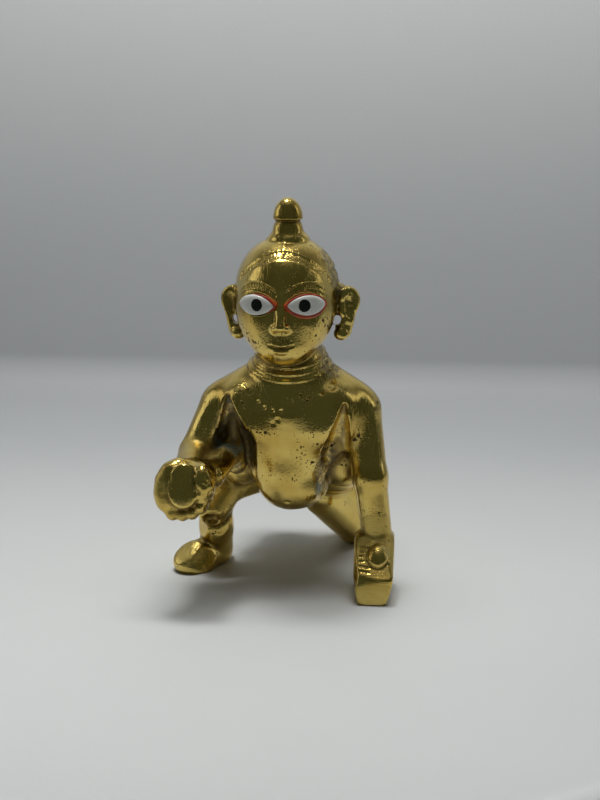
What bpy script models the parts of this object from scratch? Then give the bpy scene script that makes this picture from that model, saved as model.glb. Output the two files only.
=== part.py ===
"""Laddu gopal: a small crawling child idol in solid cast brass, with two enamelled eye plates set in its face.

The figure faces -Y and stands on its left hand, left knee and right foot. It is one casting, so it is one
solid: soft joins of limbs, balls and rings, whose surface is found on a grid and then thinned to a light mesh.
Every place and radius of the figure is written in figure units, one of which is a millimetre at the real size.
"""

import math

import bpy
import numpy as np
from mathutils import Matrix, Vector

FIGURE_HEIGHT = 0.085
EYE_LENGTH = 0.0088
EYE_HEIGHT = 0.0042
EYE_THICKNESS = 0.0013
EYE_STAND_OUT = 0.0005
EYE_DOME = 0.0005
EYE_BEND_RADIUS = 0.011
EYE_TURN = 30.0
SEAT_GAP = 0.0003
POCKET_REACH = 0.003

UNITS_TALL = 85.0
UNIT = FIGURE_HEIGHT / UNITS_TALL
GRID_STEP = 0.9
GRID_LOW = (-30.0, -26.0, -3.0)
GRID_HIGH = (28.0, 62.0, 88.0)
SOLE_REACH = 0.2
FIGURE_TRIANGLES = 8800

BRASS = (0.62, 0.47, 0.17)
ENAMEL = (0.86, 0.87, 0.84)

# Places on the figure, as (right-left, front-back, up) in figure units, its own left at +X.
HEAD_ASIDE = -0.7
FINGER_ENDS = ((-22.6, 21.5), (-20.6, 21.4), (-18.6, 21.8), (-16.8, 23.0))
RIM_PLACES = ((-23.0, -13.6, 30.6), (-24.6, -14.8, 28.4), (-24.8, -15.2, 25.6), (-23.2, -15.4, 22.2))
CHEST = (0.0, 6.8, 37.4)
HIPS = (0.5, 26.0, 23.6)
EYE_APART = 5.2
EYE_LINE = 64.1
EYE_DEPTH = -7.55
STANDING_MIDDLE = (-2.25, 18.3)
FACE_WRAP = 11.0
BROW_APART = 5.1
BROW_CENTRE = 64.3
BROW_RADIUS = 4.6
BROW_RISE = 0.6
ALMOND_POINT = 1.9


def vector(*place):
    return np.array(place, float)


def turned(points, centre, turn):
    """The points in the axes of a shape at centre, turned by turn degrees about X, then Y, then Z."""
    x, y, z = (math.radians(angle) for angle in turn)
    axes = np.array(Matrix.Rotation(z, 3, "Z") @ Matrix.Rotation(y, 3, "Y") @ Matrix.Rotation(x, 3, "X"))
    return (points - vector(*centre)) @ axes


def ball(points, centre, radii, turn=(0, 0, 0)):
    """Distance to an egg with these three radii."""
    local = turned(points, centre, turn)
    near = np.linalg.norm(local / radii, axis=1)
    far = np.linalg.norm(local / np.square(radii), axis=1)
    return near * (near - 1.0) / np.maximum(far, 1e-9)


def limb(points, start, end, start_radius, end_radius):
    """Distance to a round bar that tapers from start to end."""
    start, along = vector(*start), vector(*end) - vector(*start)
    share = np.clip((points - start) @ along / (along @ along), 0.0, 1.0)
    return np.linalg.norm(points - start - share[:, None] * along, axis=1) - (
        start_radius + share * (end_radius - start_radius)
    )


def slab(points, centre, half, rounding, turn=(0, 0, 0)):
    """Distance to a block with rounded edges."""
    past = np.abs(turned(points, centre, turn)) - (vector(*half) - rounding)
    outside = np.linalg.norm(np.maximum(past, 0.0), axis=1)
    return outside + np.minimum(past.max(axis=1), 0.0) - rounding


def ring(points, centre, radius, thickness, turn=(0, 0, 0)):
    """Distance to a round ring about its own Z axis."""
    local = turned(points, centre, turn)
    return np.hypot(np.hypot(local[:, 0], local[:, 1]) - radius, local[:, 2]) - thickness


def join(first, second, blend):
    """Both shapes, with a fillet of about blend where they meet."""
    share = np.maximum(blend - np.abs(first - second), 0.0) / blend
    return np.minimum(first, second) - share * share * blend * 0.25


def joined(shapes, blend):
    whole = shapes[0]
    for shape in shapes[1:]:
        whole = join(whole, shape, blend)
    return whole


def carve(whole, cutter, blend):
    """The first shape less the second, with an edge softened by blend."""
    return -join(-whole, cutter, blend)


def overlap(first, second, blend):
    """What the two shapes share, with an edge softened by blend."""
    return -join(-first, -second, blend)


def hollows(points):
    """The hollows between the chest and the arms: pointed above, wide below, and running down past the belly."""
    right = limb(points, (-12.9, 0.2, 43.4), (-11.6, 0.0, 33.0), 0.3, 4.8)
    right = np.minimum(right, limb(points, (-11.6, 0.0, 33.0), (-11.1, 1.0, 19.0), 4.8, 4.0))
    left = limb(points, (12.1, 0.4, 42.8), (10.5, 0.2, 31.0), 0.3, 3.4)
    left = np.minimum(left, limb(points, (10.5, 0.2, 31.0), (10.2, 0.8, 18.0), 3.4, 4.2))
    return np.minimum(right, left)


def sides(shape, points):
    """The same shape on the figure's right and left."""
    return shape(points, -1), shape(points, 1)


def figure(points):
    """Distance from each point to the brass, negative inside, in figure units."""
    whole = join(torso(points), left_arm(points), 2.0)
    whole = join(whole, right_upper_arm(points), 2.0)
    whole = carve(whole, hollows(points), 0.5)
    web = limb(points, (-12.7, 2.6, 42.0), (-11.8, 3.8, 27.0), 0.8, 2.2)
    whole = join(whole, web, 0.8)
    whole = join(whole, right_leg(points), 1.5)
    whole = join(whole, left_leg(points), 1.0)
    whole = join(whole, right_forearm(points), 1.5)
    whole = join(whole, head(points), 1.5)
    return np.maximum(whole, -points[:, 2])


def torso(points):
    chest = ball(points, CHEST, (14.6, 10.8, 11.4), (-4, 0, 0))
    belly = join(
        ball(points, (-0.6, 5.4, 26.4), (8.0, 9.2, 9.0)),
        ball(points, (0.9, 5.0, 22.4), (7.4, 7.8, 5.3)),
        1.5,
    )
    shoulders = limb(points, (-14.4, 6.0, 40.0), (14.2, 6.0, 39.8), 4.3, 4.3)
    slopes = joined([limb(points, (x * 0.1, 7.0, 47.6), (x, 6.5, 41.6), 6.0, 3.4) for x in (-12.8, 12.6)], 5.0)
    flanks = joined([limb(points, (x, 9.5, 37.0), (x, 10.5, 25.0), 4.2, 4.4) for x in (-11.4, 11.0)], 2.0)
    back = limb(points, (0.0, 12.5, 34.5), (0.5, 25.0, 26.5), 10.0, 9.6)
    hips = ball(points, HIPS, (12.6, 11.0, 9.0), (14, 0, 0))
    thighs = joined([ball(points, (x, 23.0, 23.0), (6.8, 9.0, 7.6)) for x in (-9.0, 9.0)], 2.0)
    seat = joined([ball(points, (x, 33.0, 22.6), (7.2, 7.6, 8.2)) for x in (-5.6, 6.6)], 1.0)
    whole = join(join(chest, belly, 4.0), shoulders, 4.0)
    whole = join(join(whole, slopes, 4.0), back, 6.0)
    whole = join(join(whole, hips, 5.0), thighs, 3.0)
    whole = join(join(whole, flanks, 2.0), seat, 2.0)
    spine = limb(points, (0.0, 21.0, 43.0), (0.5, 36.0, 34.5), 1.6, 1.6)
    navel = ball(points, (-0.2, -2.4, 20.2), (0.9, 0.8, 0.9))
    return carve(carve(whole, spine, 3.0), navel, 0.6)


def neck(points):
    """A short neck that widens to the chest, with one soft fold round its front."""
    column = limb(points, (0.0, 6.4, 41.0), (0.0, 5.0, 56.0), 11.0, 5.8)
    fold = ring(points, (0.0, 5.4, 48.2), 7.6, 1.2, (7, 0, 0))
    return join(column, fold, 1.0)


def hair(points):
    """A close cap over the skull, and the lock that hangs behind the neck to the shoulders."""
    cap = ball(points, (0.0, 5.2, 65.6), (11.0, 12.4, 11.6))
    edge = (points - vector(0.0, -5.6, 73.2)) @ vector(0.0, -0.8, -0.6)
    cap = overlap(cap, edge, 0.4)
    lock = limb(points, (0.0, 10.2, 58.5), (0.6, 13.0, 46.0), 4.8, 5.4)
    return join(cap, lock, 5.0)


def topknot(points):
    """A bun in two tiers: a flared drum, and a dome whose rim stands out over it."""
    foot = ball(points, (0.4, 4.3, 76.4), (4.4, 4.4, 1.7))
    drum = limb(points, (0.3, 4.2, 76.0), (0.3, 4.1, 78.2), 3.5, 3.2)
    dome = ball(points, (0.3, 4.0, 80.6), (3.15, 3.15, 4.4))
    dome = overlap(dome, 80.4 - points[:, 2], 0.5)
    groove = ring(points, (0.3, 4.0, 80.4), 3.5, 0.5)
    return join(carve(join(foot, drum, 1.0), groove, 0.3), dome, 0.15)


def ear(points, side):
    """A long flat ear, broad at the top, with a pierced lobe that turns in to the jaw."""
    outline = joined(
        [
            limb(points, (side * 12.3, 4.6, 64.0), (side * 11.4, 4.4, 56.8), 2.4, 1.8),
            limb(points, (side * 10.4, 4.6, 65.6), (side * 12.7, 4.6, 63.0), 1.2, 1.9),
        ],
        1.2,
    )
    sheet = slab(points, (side * 12.0, 4.5, 61.0), (8.0, 1.5, 8.0), 0.8, (0, 0, side * 12))
    whole = overlap(outline, sheet, 0.8)
    hollow = ball(points, (side * 13.0, 2.6, 62.8), (1.3, 1.2, 2.9), (0, side * 8, 0))
    through = side * 10.6 + HEAD_ASIDE
    pierced = limb(points, (through, -4.0, 59.2), (through, 12.0, 59.2), 1.05, 1.05)
    bead = ball(points, (side * 11.0, 3.4, 56.4), (1.6, 1.5, 1.5))
    return join(carve(carve(whole, hollow, 0.6), pierced, 0.3), bead, 0.4)


def brow(points, side):
    """How far the brow over one eye stands out, as a soft arch drawn on the wrapped face."""
    across = FACE_WRAP * np.arctan2(side * points[:, 0], 4.5 - points[:, 1])
    away = np.hypot(across - BROW_APART, points[:, 2] - BROW_CENTRE) - BROW_RADIUS
    span = np.clip((points[:, 2] - BROW_CENTRE - 1.4) / 1.2, 0.0, 1.0)
    return BROW_RISE * span * np.exp(-np.square(away / 0.55))


def face(points):
    """A calm child's face on even proportions: the eyes half way down the head, the nose and the mouth
    at the next two quarters, the ears as tall as from the brow to the mouth."""
    skull = ball(points, (0.0, 4.2, 65.4), (10.5, 12.0, 11.4))
    cheeks = ball(points, (0.0, 0.8, 60.2), (9.6, 9.6, 9.2))
    chin = ball(points, (0.0, -3.6, 54.6), (4.4, 4.2, 3.4))
    whole = join(join(skull, cheeks, 4.0), chin, 4.0)
    whole = whole - brow(points, -1) - brow(points, 1)
    nose = limb(points, (0.0, -7.9, 65.6), (0.0, -10.0, 59.9), 0.7, 1.05)
    wings = joined([ball(points, (x, -8.9, 59.5), (0.9, 1.3, 0.85)) for x in (-1.0, 1.0)], 0.4)
    whole = join(whole, join(nose, wings, 0.6), 1.0)
    lips = join(
        ball(points, (0.0, -8.35, 56.35), (2.4, 1.1, 0.6)),
        ball(points, (0.0, -8.1, 55.0), (1.8, 1.2, 0.75)),
        0.1,
    )
    return join(whole, lips, 0.4)


def head(points):
    """The head leans a little aside, between ears that stand even about the neck."""
    leaning = points - vector(HEAD_ASIDE, 0.0, 0.0)
    skull = join(face(leaning), hair(leaning), 0.3)
    skull = join(skull, topknot(leaning), 0.9)
    skull = join(skull, joined(sides(ear, points), 0.5), 0.8)
    return join(skull, neck(points), 1.0)


def left_arm(points):
    """The straight arm that the figure leans on, with its hand flat on the ground."""
    upper = limb(points, (15.2, 5.5, 39.0), (17.5, 4.0, 24.0), 4.4, 3.7)
    lower = limb(points, (17.5, 4.0, 24.0), (19.3, 2.4, 11.0), 3.7, 3.2)
    hand = slab(points, (18.7, -1.8, 4.6), (4.3, 7.3, 6.6), 1.8)
    back = (points - vector(18.7, -4.0, 8.2)) @ vector(0.0, -0.48, 0.877)
    taper = (np.abs(points[:, 0] - 18.95) - 2.7 - 0.3 * points[:, 2]) * 0.958
    hand = overlap(overlap(hand, back, 0.9), taper, 0.6)
    thumb = limb(points, (15.4, 0.8, 6.8), (15.3, -5.4, 3.4), 1.5, 1.2)
    return join(join(join(upper, lower, 1.4), hand, 1.2), thumb, 0.3)


def right_upper_arm(points):
    return limb(points, (-15.4, 5.5, 39.4), (-20.2, 3.0, 29.8), 4.5, 3.9)


def right_forearm(points):
    """The forearm that holds a sweet out in its cupped hand."""
    lower = limb(points, (-20.4, 3.0, 29.4), (-19.8, -11.0, 28.2), 3.8, 3.9)
    inner = limb(points, (-12.6, 4.0, 30.5), (-15.4, -8.0, 27.8), 2.4, 2.8)
    palm = ball(points, (-20.4, -13.0, 26.3), (5.2, 4.4, 5.4))
    rim = [limb(points, *ends, 1.4, 1.4) for ends in zip(RIM_PLACES, RIM_PLACES[1:])]
    fingers = [ball(points, (x, -15.6, z), (1.4, 2.4, 1.5)) for x, z in FINGER_ENDS]
    heel = ball(points, (-16.4, -13.2, 27.4), (2.3, 3.6, 4.3))
    sweet = ball(points, (-20.4, -15.2, 27.6), (3.5, 3.2, 4.7))
    hand = joined([palm] + rim + [heel], 0.9)
    hand = joined([hand] + fingers, 0.6)
    return join(join(lower, inner, 2.0), join(hand, sweet, 0.2), 1.5)


def right_leg(points):
    """The leg that is drawn up beside the belly, with its foot flat on the ground."""
    hip = limb(points, (-6.0, 20.0, 22.6), (-13.4, 14.6, 19.6), 5.6, 4.0)
    knee = limb(points, (-14.6, 13.6, 19.8), (-18.0, 10.2, 14.6), 3.6, 3.8)
    calf = ball(points, (-18.0, 14.6, 10.6), (3.9, 4.4, 5.6), (-18, 0, 0))
    shin = limb(points, (-17.8, 10.2, 14.4), (-18.0, 16.0, 5.0), 4.0, 3.6)
    heel = ball(points, (-18.0, 18.2, 3.0), (3.3, 4.2, 3.4))
    toes = ball(points, (-22.6, 11.0, 2.0), (4.6, 5.2, 3.8), (0, 0, -38))
    sole = limb(points, (-18.6, 16.4, 2.6), (-22.0, 11.4, 2.4), 3.8, 4.0)
    return joined([hip, knee, calf, shin, heel, sole, toes], 1.3)


def left_leg(points):
    """The leg that kneels, its shin, its instep and its toes trailing on the ground."""
    thigh = joined(
        [
            limb(points, (6.2, 23.4, 14.6), (12.2, 32.6, 5.4), 5.2, 4.9),
            limb(points, (8.6, 27.6, 18.0), (14.0, 34.0, 6.8), 6.2, 4.2),
        ],
        1.5,
    )
    shin = limb(points, (13.3, 33.4, 3.9), (11.4, 44.0, 2.8), 4.5, 3.2)
    calf = ball(points, (12.8, 38.4, 5.2), (3.9, 6.0, 3.9), (0, 0, 11))
    heel = ball(points, (11.2, 45.6, 5.0), (3.2, 3.4, 3.2))
    instep = limb(points, (11.4, 44.0, 2.8), (9.8, 50.2, 2.2), 3.2, 3.0)
    toes = slab(points, (9.4, 51.73, 1.4), (4.0, 2.8, 2.0), 1.6, (0, 0, 10))
    return joined([thigh, calf, shin, instep, heel, toes], 1.6)


def one_sheet(value):
    """The samples, with the weaker empty one filled wherever two sheets of the surface would share an edge."""
    shared = True
    while shared:
        shared = False
        for first, second in ((0, 1), (1, 2), (2, 0)):
            corners = [np.roll(value, (-a, -b), (first, second)) for a, b in ((0, 0), (1, 0), (1, 1), (0, 1))]
            signs = [corner < 0.0 for corner in corners]
            crossed = (signs[0] == signs[2]) & (signs[1] == signs[3]) & (signs[0] != signs[1])
            for cell in np.argwhere(crossed):
                empty = [corner[tuple(cell)] for corner in corners]
                weaker = int(np.argmin([height if height >= 0.0 else np.inf for height in empty]))
                cell[first] += (0, 1, 1, 0)[weaker]
                cell[second] += (0, 0, 1, 1)[weaker]
                value[tuple(cell)] = -abs(value[tuple(cell)]) - 1e-6
                shared = True
    return value


def grid_surface(shape, low, high, step):
    """Points and quads of the surface where shape is zero, one point for each cell that it crosses."""
    counts = np.ceil((high - low) / step).astype(int) + 1
    axes = [low[i] + step * np.arange(counts[i]) for i in range(3)]
    corners = np.stack(np.meshgrid(*axes, indexing="ij"), axis=-1).reshape(-1, 3)
    value = one_sheet(shape(corners).reshape(counts))
    inside = value < 0.0
    cells = tuple(counts - 1)
    place, crossings = np.zeros(cells + (3,)), np.zeros(cells)
    for axis in range(3):
        ahead = np.roll(value, -1, axis)
        crossed = inside != np.roll(inside, -1, axis)
        share = value / np.where(crossed, value - ahead, 1.0)
        for near in (0, 1):
            for far in (0, 1):
                offset = np.insert([near, far], axis, 0)
                window = tuple(slice(o, o + n) for o, n in zip(offset, cells))
                hit = crossed[window]
                point = np.broadcast_to(offset.astype(float), cells + (3,)).copy()
                point[..., axis] += share[window]
                place += np.where(hit[..., None], point, 0.0)
                crossings += hit
    used = crossings > 0
    number = np.full(cells, -1)
    number[used] = np.arange(used.sum())
    where = np.argwhere(used) + place[used] / crossings[used][:, None]
    quads = []
    for axis in range(3):
        first, second = (axis + 1) % 3, (axis + 2) % 3
        crossed = inside != np.roll(inside, -1, axis)
        edges = np.argwhere(crossed)
        edges = edges[(edges[:, first] > 0) & (edges[:, second] > 0) & (edges[:, axis] < cells[axis])]
        around = []
        for back_first, back_second in ((0, 0), (1, 0), (1, 1), (0, 1)):
            cell = edges.copy()
            cell[:, first] -= back_first
            cell[:, second] -= back_second
            around.append(number[tuple(cell.T)])
        quad = np.stack(around, axis=1)
        leaving = inside[tuple(edges.T)]
        quads.append(np.where(leaving[:, None], quad, quad[:, ::-1]))
    return low + step * where, np.concatenate(quads)


def settled(shape, points, rounds=3):
    """The points moved on to the true surface."""
    reach = 0.05
    for _ in range(rounds):
        value = shape(points)
        slope = np.stack(
            [(shape(points + reach * axis) - shape(points - reach * axis)) / (2 * reach) for axis in np.eye(3)],
            axis=1,
        )
        square = np.maximum((slope**2).sum(axis=1), 0.2)
        points = points - np.clip(value / square, -0.4, 0.4)[:, None] * slope
    return points


def material(name, colour, roughness, metallic):
    made = bpy.data.materials.new(name)
    made.use_nodes = True
    shader = made.node_tree.nodes["Principled BSDF"]
    shader.inputs["Base Color"].default_value = (*colour, 1.0)
    shader.inputs["Roughness"].default_value = roughness
    shader.inputs["Metallic"].default_value = metallic
    return made


def new_object(name, points, faces, look):
    mesh = bpy.data.meshes.new(name)
    mesh.from_pydata([Vector(p) for p in points], [], faces)
    mesh.materials.append(look)
    made = bpy.data.objects.new(name, mesh)
    bpy.context.scene.collection.objects.link(made)
    return made


def thinned(made, ratio):
    """Fewer triangles, and flat soles wherever the figure comes down to the ground."""
    thin = made.modifiers.new("Decimate", "DECIMATE")
    thin.ratio = ratio
    depsgraph = bpy.context.evaluated_depsgraph_get()
    made.data = bpy.data.meshes.new_from_object(made.evaluated_get(depsgraph))
    made.modifiers.remove(thin)
    for vertex in made.data.vertices:
        if vertex.co.z < SOLE_REACH * UNIT:
            vertex.co.z = 0.0


def almond(length, height, back, front, rise):
    """A closed plate with an almond outline in X and Z and a domed front, from y = back to y = front.
    The whole plate is bent back about a Z axis, as the face is."""
    steps, rows = 14, 4
    outline = []
    for i in range(2 * steps):
        lift = math.sin(math.pi * (i % steps) / steps) ** ALMOND_POINT
        lift = lift if i < steps else -lift
        outline.append((0.5 * length * math.cos(math.pi * i / steps), 0.5 * height * lift))
    points = [(0.0, back, 0.0)] + [(x, back, z) for x, z in outline]
    for row in range(rows):
        size = 1.0 - row / rows
        points += [(x * size, front - rise * (1.0 - size * size), z * size) for x, z in outline]
    points.append((0.0, front - rise, 0.0))
    points = [(x, y + x * x / (2.0 * EYE_BEND_RADIUS), z) for x, y, z in points]
    count = len(outline)
    faces = []
    for i in range(count):
        after = (i + 1) % count
        faces.append((0, 1 + after, 1 + i))
        for row in range(rows):
            low = 1 + row * count
            faces.append((low + i, low + after, low + count + after, low + count + i))
        faces.append((1 + rows * count + i, 1 + rows * count + after, len(points) - 1))
    return points, faces


def eye_place(side):
    """Where an eye plate sits: its own X along the eye, and its own -Y out of the face."""
    middle = Vector((HEAD_ASIDE + side * EYE_APART, EYE_DEPTH, EYE_LINE)) * UNIT
    return Matrix.Translation(middle) @ Matrix.Rotation(math.radians(side * EYE_TURN), 4, "Z")


def set_at(plate, place):
    points, faces = plate
    return [place @ Vector(point) for point in points], faces


def main():
    for old in list(bpy.data.objects):
        bpy.data.objects.remove(old)
    brass = material("brass", BRASS, 0.2, 1.0)
    enamel = material("enamel", ENAMEL, 0.15, 0.0)
    shift = Matrix.Translation(Vector((*STANDING_MIDDLE, 0.0)) * -UNIT)
    points, quads = grid_surface(figure, vector(*GRID_LOW), vector(*GRID_HIGH), GRID_STEP)
    points = [shift @ Vector(point * UNIT) for point in settled(figure, points)]
    idol = new_object("idol_figure", points, quads.tolist(), brass)
    thinned(idol, FIGURE_TRIANGLES / (2.0 * len(quads)))
    plate = almond(EYE_LENGTH, EYE_HEIGHT, EYE_THICKNESS - EYE_STAND_OUT, -EYE_STAND_OUT, EYE_DOME)
    seat = almond(
        EYE_LENGTH + 2.0 * SEAT_GAP,
        EYE_HEIGHT + 2.0 * SEAT_GAP,
        EYE_THICKNESS - EYE_STAND_OUT + SEAT_GAP,
        -POCKET_REACH,
        0.0,
    )
    for side, name in ((-1, "right"), (1, "left")):
        place = shift @ eye_place(side)
        new_object("eye_" + name, *set_at(plate, place), enamel)
        cutter = new_object("eye_seat_" + name, *set_at(seat, place), brass)
        cutter.hide_render = True
        cutter.display_type = "WIRE"
        pocket = idol.modifiers.new("Boolean " + name, "BOOLEAN")
        pocket.object = cutter
        pocket.operation = "DIFFERENCE"
        pocket.solver = "EXACT"
    idol.data.shade_smooth()


main()
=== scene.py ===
# %% [markdown]
# # A small cast brass idol, rebuilt from its photograph
# The object is a laddu gopal: a crawling child, 85 mm tall, cast in solid brass, filed and polished by
# hand, with two enamelled eye plates glued into its face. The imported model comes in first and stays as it
# is. It gives the place and the size of each piece, and the visible pieces below are made over it in the
# same metres.

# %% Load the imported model
import math

import bmesh
import bpy
import numpy as np
from mathutils import Matrix, Vector


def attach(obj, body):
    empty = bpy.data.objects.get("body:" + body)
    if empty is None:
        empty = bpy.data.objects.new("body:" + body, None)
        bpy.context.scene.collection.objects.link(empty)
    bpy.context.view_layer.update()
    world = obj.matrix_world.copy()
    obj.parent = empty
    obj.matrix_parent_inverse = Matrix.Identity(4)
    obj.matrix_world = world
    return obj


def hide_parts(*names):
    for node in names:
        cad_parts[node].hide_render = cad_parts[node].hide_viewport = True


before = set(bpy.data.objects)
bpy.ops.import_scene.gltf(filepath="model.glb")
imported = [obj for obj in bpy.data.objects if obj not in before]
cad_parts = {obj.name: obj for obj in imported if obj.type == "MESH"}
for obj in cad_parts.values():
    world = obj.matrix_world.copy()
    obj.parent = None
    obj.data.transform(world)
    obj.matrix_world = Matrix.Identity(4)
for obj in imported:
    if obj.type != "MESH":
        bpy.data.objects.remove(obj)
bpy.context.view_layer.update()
MM = 0.001
STANDING_MIDDLE = Vector((-2.25, 18.3, 0.0))

# %% [markdown]
# ## A body made of distances
# A figure like this was first modelled in wax, where limbs and lumps are pressed together and smoothed. Box
# modelling is poor at that, so the figure is written as a distance: for any point in space, how far the
# brass is. Eggs, tapered bars, soft blocks and rings are easy to measure to, and every size below is a
# millimetre.

# %% Measuring to simple shapes
def vector(*place):
    return np.array(place, float)


def turned(points, centre, turn):
    """The points in the axes of a shape at centre, turned by turn degrees about X, then Y, then Z."""
    x, y, z = (math.radians(angle) for angle in turn)
    axes = np.array(Matrix.Rotation(z, 3, "Z") @ Matrix.Rotation(y, 3, "Y") @ Matrix.Rotation(x, 3, "X"))
    return (points - vector(*centre)) @ axes


def ball(points, centre, radii, turn=(0, 0, 0)):
    local = turned(points, centre, turn)
    near = np.linalg.norm(local / radii, axis=1)
    far = np.linalg.norm(local / np.square(radii), axis=1)
    return near * (near - 1.0) / np.maximum(far, 1e-9)


def limb(points, start, end, start_radius, end_radius):
    start, along = vector(*start), vector(*end) - vector(*start)
    share = np.clip((points - start) @ along / (along @ along), 0.0, 1.0)
    radius = start_radius + share * (end_radius - start_radius)
    return np.linalg.norm(points - start - share[:, None] * along, axis=1) - radius


def slab(points, centre, half, rounding, turn=(0, 0, 0)):
    past = np.abs(turned(points, centre, turn)) - (vector(*half) - rounding)
    outside = np.linalg.norm(np.maximum(past, 0.0), axis=1)
    return outside + np.minimum(past.max(axis=1), 0.0) - rounding


def ring(points, centre, radius, thickness, turn=(0, 0, 0)):
    local = turned(points, centre, turn)
    return np.hypot(np.hypot(local[:, 0], local[:, 1]) - radius, local[:, 2]) - thickness


# %% [markdown]
# Two distances are joined by taking the smaller one. Taking it softly leaves the fillet that a thumb leaves
# in wax, and the same soft minimum, turned about, also carves and overlaps.

# %% Joining and carving
def join(first, second, blend):
    share = np.maximum(blend - np.abs(first - second), 0.0) / blend
    return np.minimum(first, second) - share * share * blend * 0.25


def joined(shapes, blend):
    whole = shapes[0]
    for shape in shapes[1:]:
        whole = join(whole, shape, blend)
    return whole


def carve(whole, cutter, blend):
    return -join(-whole, cutter, blend)


def overlap(first, second, blend):
    return -join(-first, -second, blend)


def sides(shape, points):
    return shape(points, -1), shape(points, 1)


# %% [markdown]
# ## The trunk
# The child leans forward on one arm, so its back slopes down from the neck to broad hips, and the belly
# hangs between the arms as a separate swelling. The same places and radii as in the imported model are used.

# %% Chest, belly, back and hips
CHEST = (0.0, 6.8, 37.4)
HIPS = (0.5, 26.0, 23.6)


def torso(points):
    chest = join(
        ball(points, CHEST, (14.6, 10.9, 11.6), (-1, 0, 0)),
        slab(points, (0.0, 4.0, 38.8), (14.4, 7.2, 7.4), 5.0, (-5, 0, 0)),
        2.5,
    )
    belly = join(
        ball(points, (-0.6, 5.9, 26.6), (8.0, 9.2, 9.2), (-6, 0, 0)),
        ball(points, (0.9, 5.2, 22.4), (7.4, 7.6, 5.3)),
        1.5,
    )
    shoulders = limb(points, (-14.4, 6.0, 40.0), (14.2, 6.0, 39.8), 4.3, 4.3)
    slopes = [limb(points, (x * 0.1, 7.0, 47.6), (x, 6.5, 41.6), 6.0, 3.4) for x in (-12.8, 12.6)]
    flanks = joined([limb(points, (x, 9.5, 37.0), (x, 10.5, 25.0), 4.2, 4.4) for x in (-11.4, 11.0)], 2.0)
    back = limb(points, (0.0, 12.5, 34.5), (0.5, 25.0, 26.5), 10.0, 9.6)
    hips = ball(points, HIPS, (12.6, 11.0, 9.0), (14, 0, 0))
    thighs = joined([ball(points, (x, 23.0, 23.0), (6.8, 9.0, 7.6)) for x in (-9.0, 9.0)], 2.0)
    seat = joined([ball(points, (x, 33.0, 22.6), (7.2, 7.6, 8.2)) for x in (-5.6, 6.6)], 0.6)
    whole = join(join(chest, belly, 4.0), shoulders, 4.0)
    whole = join(join(whole, joined(slopes, 5.0), 4.0), back, 6.0)
    whole = join(join(whole, hips, 5.0), thighs, 3.0)
    whole = join(join(whole, flanks, 2.0), seat, 1.6)
    spine = limb(points, (0.0, 21.0, 43.0), (0.5, 36.0, 34.5), 1.6, 1.6)
    navel = ball(points, (-0.2, -2.4, 20.2), (1.0, 0.9, 0.5))
    return carve(carve(whole, spine, 3.0), navel, 0.3)


# %% [markdown]
# The founder did not undercut the mould between the arms and the belly. What is left there is a pointed
# hollow on each side, with a web of rough metal in the right one.

# %% The hollows beside the belly
WEB_FRONT = 0.0


def hollows(points):
    """The pointed hollows, carried straight forward from WEB_FRONT so that no skin is left before them."""
    points = np.stack([points[:, 0], np.maximum(points[:, 1], WEB_FRONT), points[:, 2]], axis=1)
    right = limb(points, (-12.9, 0.2, 43.4), (-11.6, 0.0, 33.0), 0.3, 4.8)
    right = np.minimum(right, limb(points, (-11.6, 0.0, 33.0), (-11.1, 1.0, 19.0), 4.8, 4.0))
    left = limb(points, (12.1, 0.4, 42.8), (10.5, 0.2, 31.0), 0.3, 3.4)
    left = np.minimum(left, limb(points, (10.5, 0.2, 31.0), (10.2, 0.8, 18.0), 3.4, 4.2))
    return np.minimum(right, left)


def web(points):
    return limb(points, (-12.7, 2.6, 42.0), (-11.8, 3.8, 27.0), 0.8, 2.2)


# %% [markdown]
# ## The arms
# The left arm is a straight prop that ends in a squarish hand, filed into facets. The right one is bent,
# and its cupped hand holds a round sweet: a smooth ball in a low rim, with four finger ends under it.

# %% The propping arm
HAND_FACETS = (
    ((18.8, -9.1, 2.6), (0.0, -0.995, 0.05), 0.25),
    ((18.0, -8.9, 5.1), (-0.12, -0.93, 0.34), 0.2),
    ((18.8, -8.5, 6.0), (0.0, -0.64, 0.77), 0.3),
    ((15.3, -7.5, 6.0), (-0.86, -0.42, 0.30), 0.2),
    ((22.4, -6.0, 7.9), (0.62, -0.40, 0.68), 0.3),
    ((15.6, -4.0, 0.0), (-0.975, 0.0, -0.22), 0.3),
    ((21.5, -4.0, 0.0), (0.958, 0.0, -0.29), 0.3),
)


def faceted(shape, points, facets):
    """The shape filed flat on each facet: a point on it, the way it faces and how soft its edge is."""
    for through, facing, softness in facets:
        shape = overlap(shape, (points - vector(*through)) @ vector(*facing) / math.hypot(*facing), softness)
    return shape


def left_arm(points):
    upper = limb(points, (15.2, 6.4, 39.0), (17.5, 3.2, 25.0), 4.4, 3.7)
    lower = limb(points, (17.5, 3.2, 25.0), (19.3, 2.4, 11.0), 3.7, 3.2)
    hand = faceted(slab(points, (18.7, -1.8, 5.4), (4.3, 7.3, 7.4), 1.4), points, HAND_FACETS)
    knuckle = ball(points, (19.6, -4.3, 9.4), (2.2, 3.0, 1.6), (40, 0, 0))
    hand = join(hand, knuckle, 0.2)
    thumb = limb(points, (15.7, 0.5, 8.4), (15.6, -5.6, 5.0), 1.3, 1.0)
    return join(join(join(upper, lower, 1.4), hand, 0.5), thumb, 0.5)


# %% The arm with the sweet
FINGER_ENDS = ((-22.6, 21.5), (-20.6, 21.4), (-18.6, 21.8), (-16.8, 23.0))
RIM_PLACES = (
    (-21.6, -12.8, 31.0),
    (-23.2, -13.6, 29.9),
    (-24.3, -14.4, 28.0),
    (-24.5, -14.8, 25.6),
    (-23.9, -15.0, 23.9),
    (-22.8, -15.0, 22.6),
)
RIM_RADIUS = 1.7
SWEET_GAP = 0.08


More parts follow.
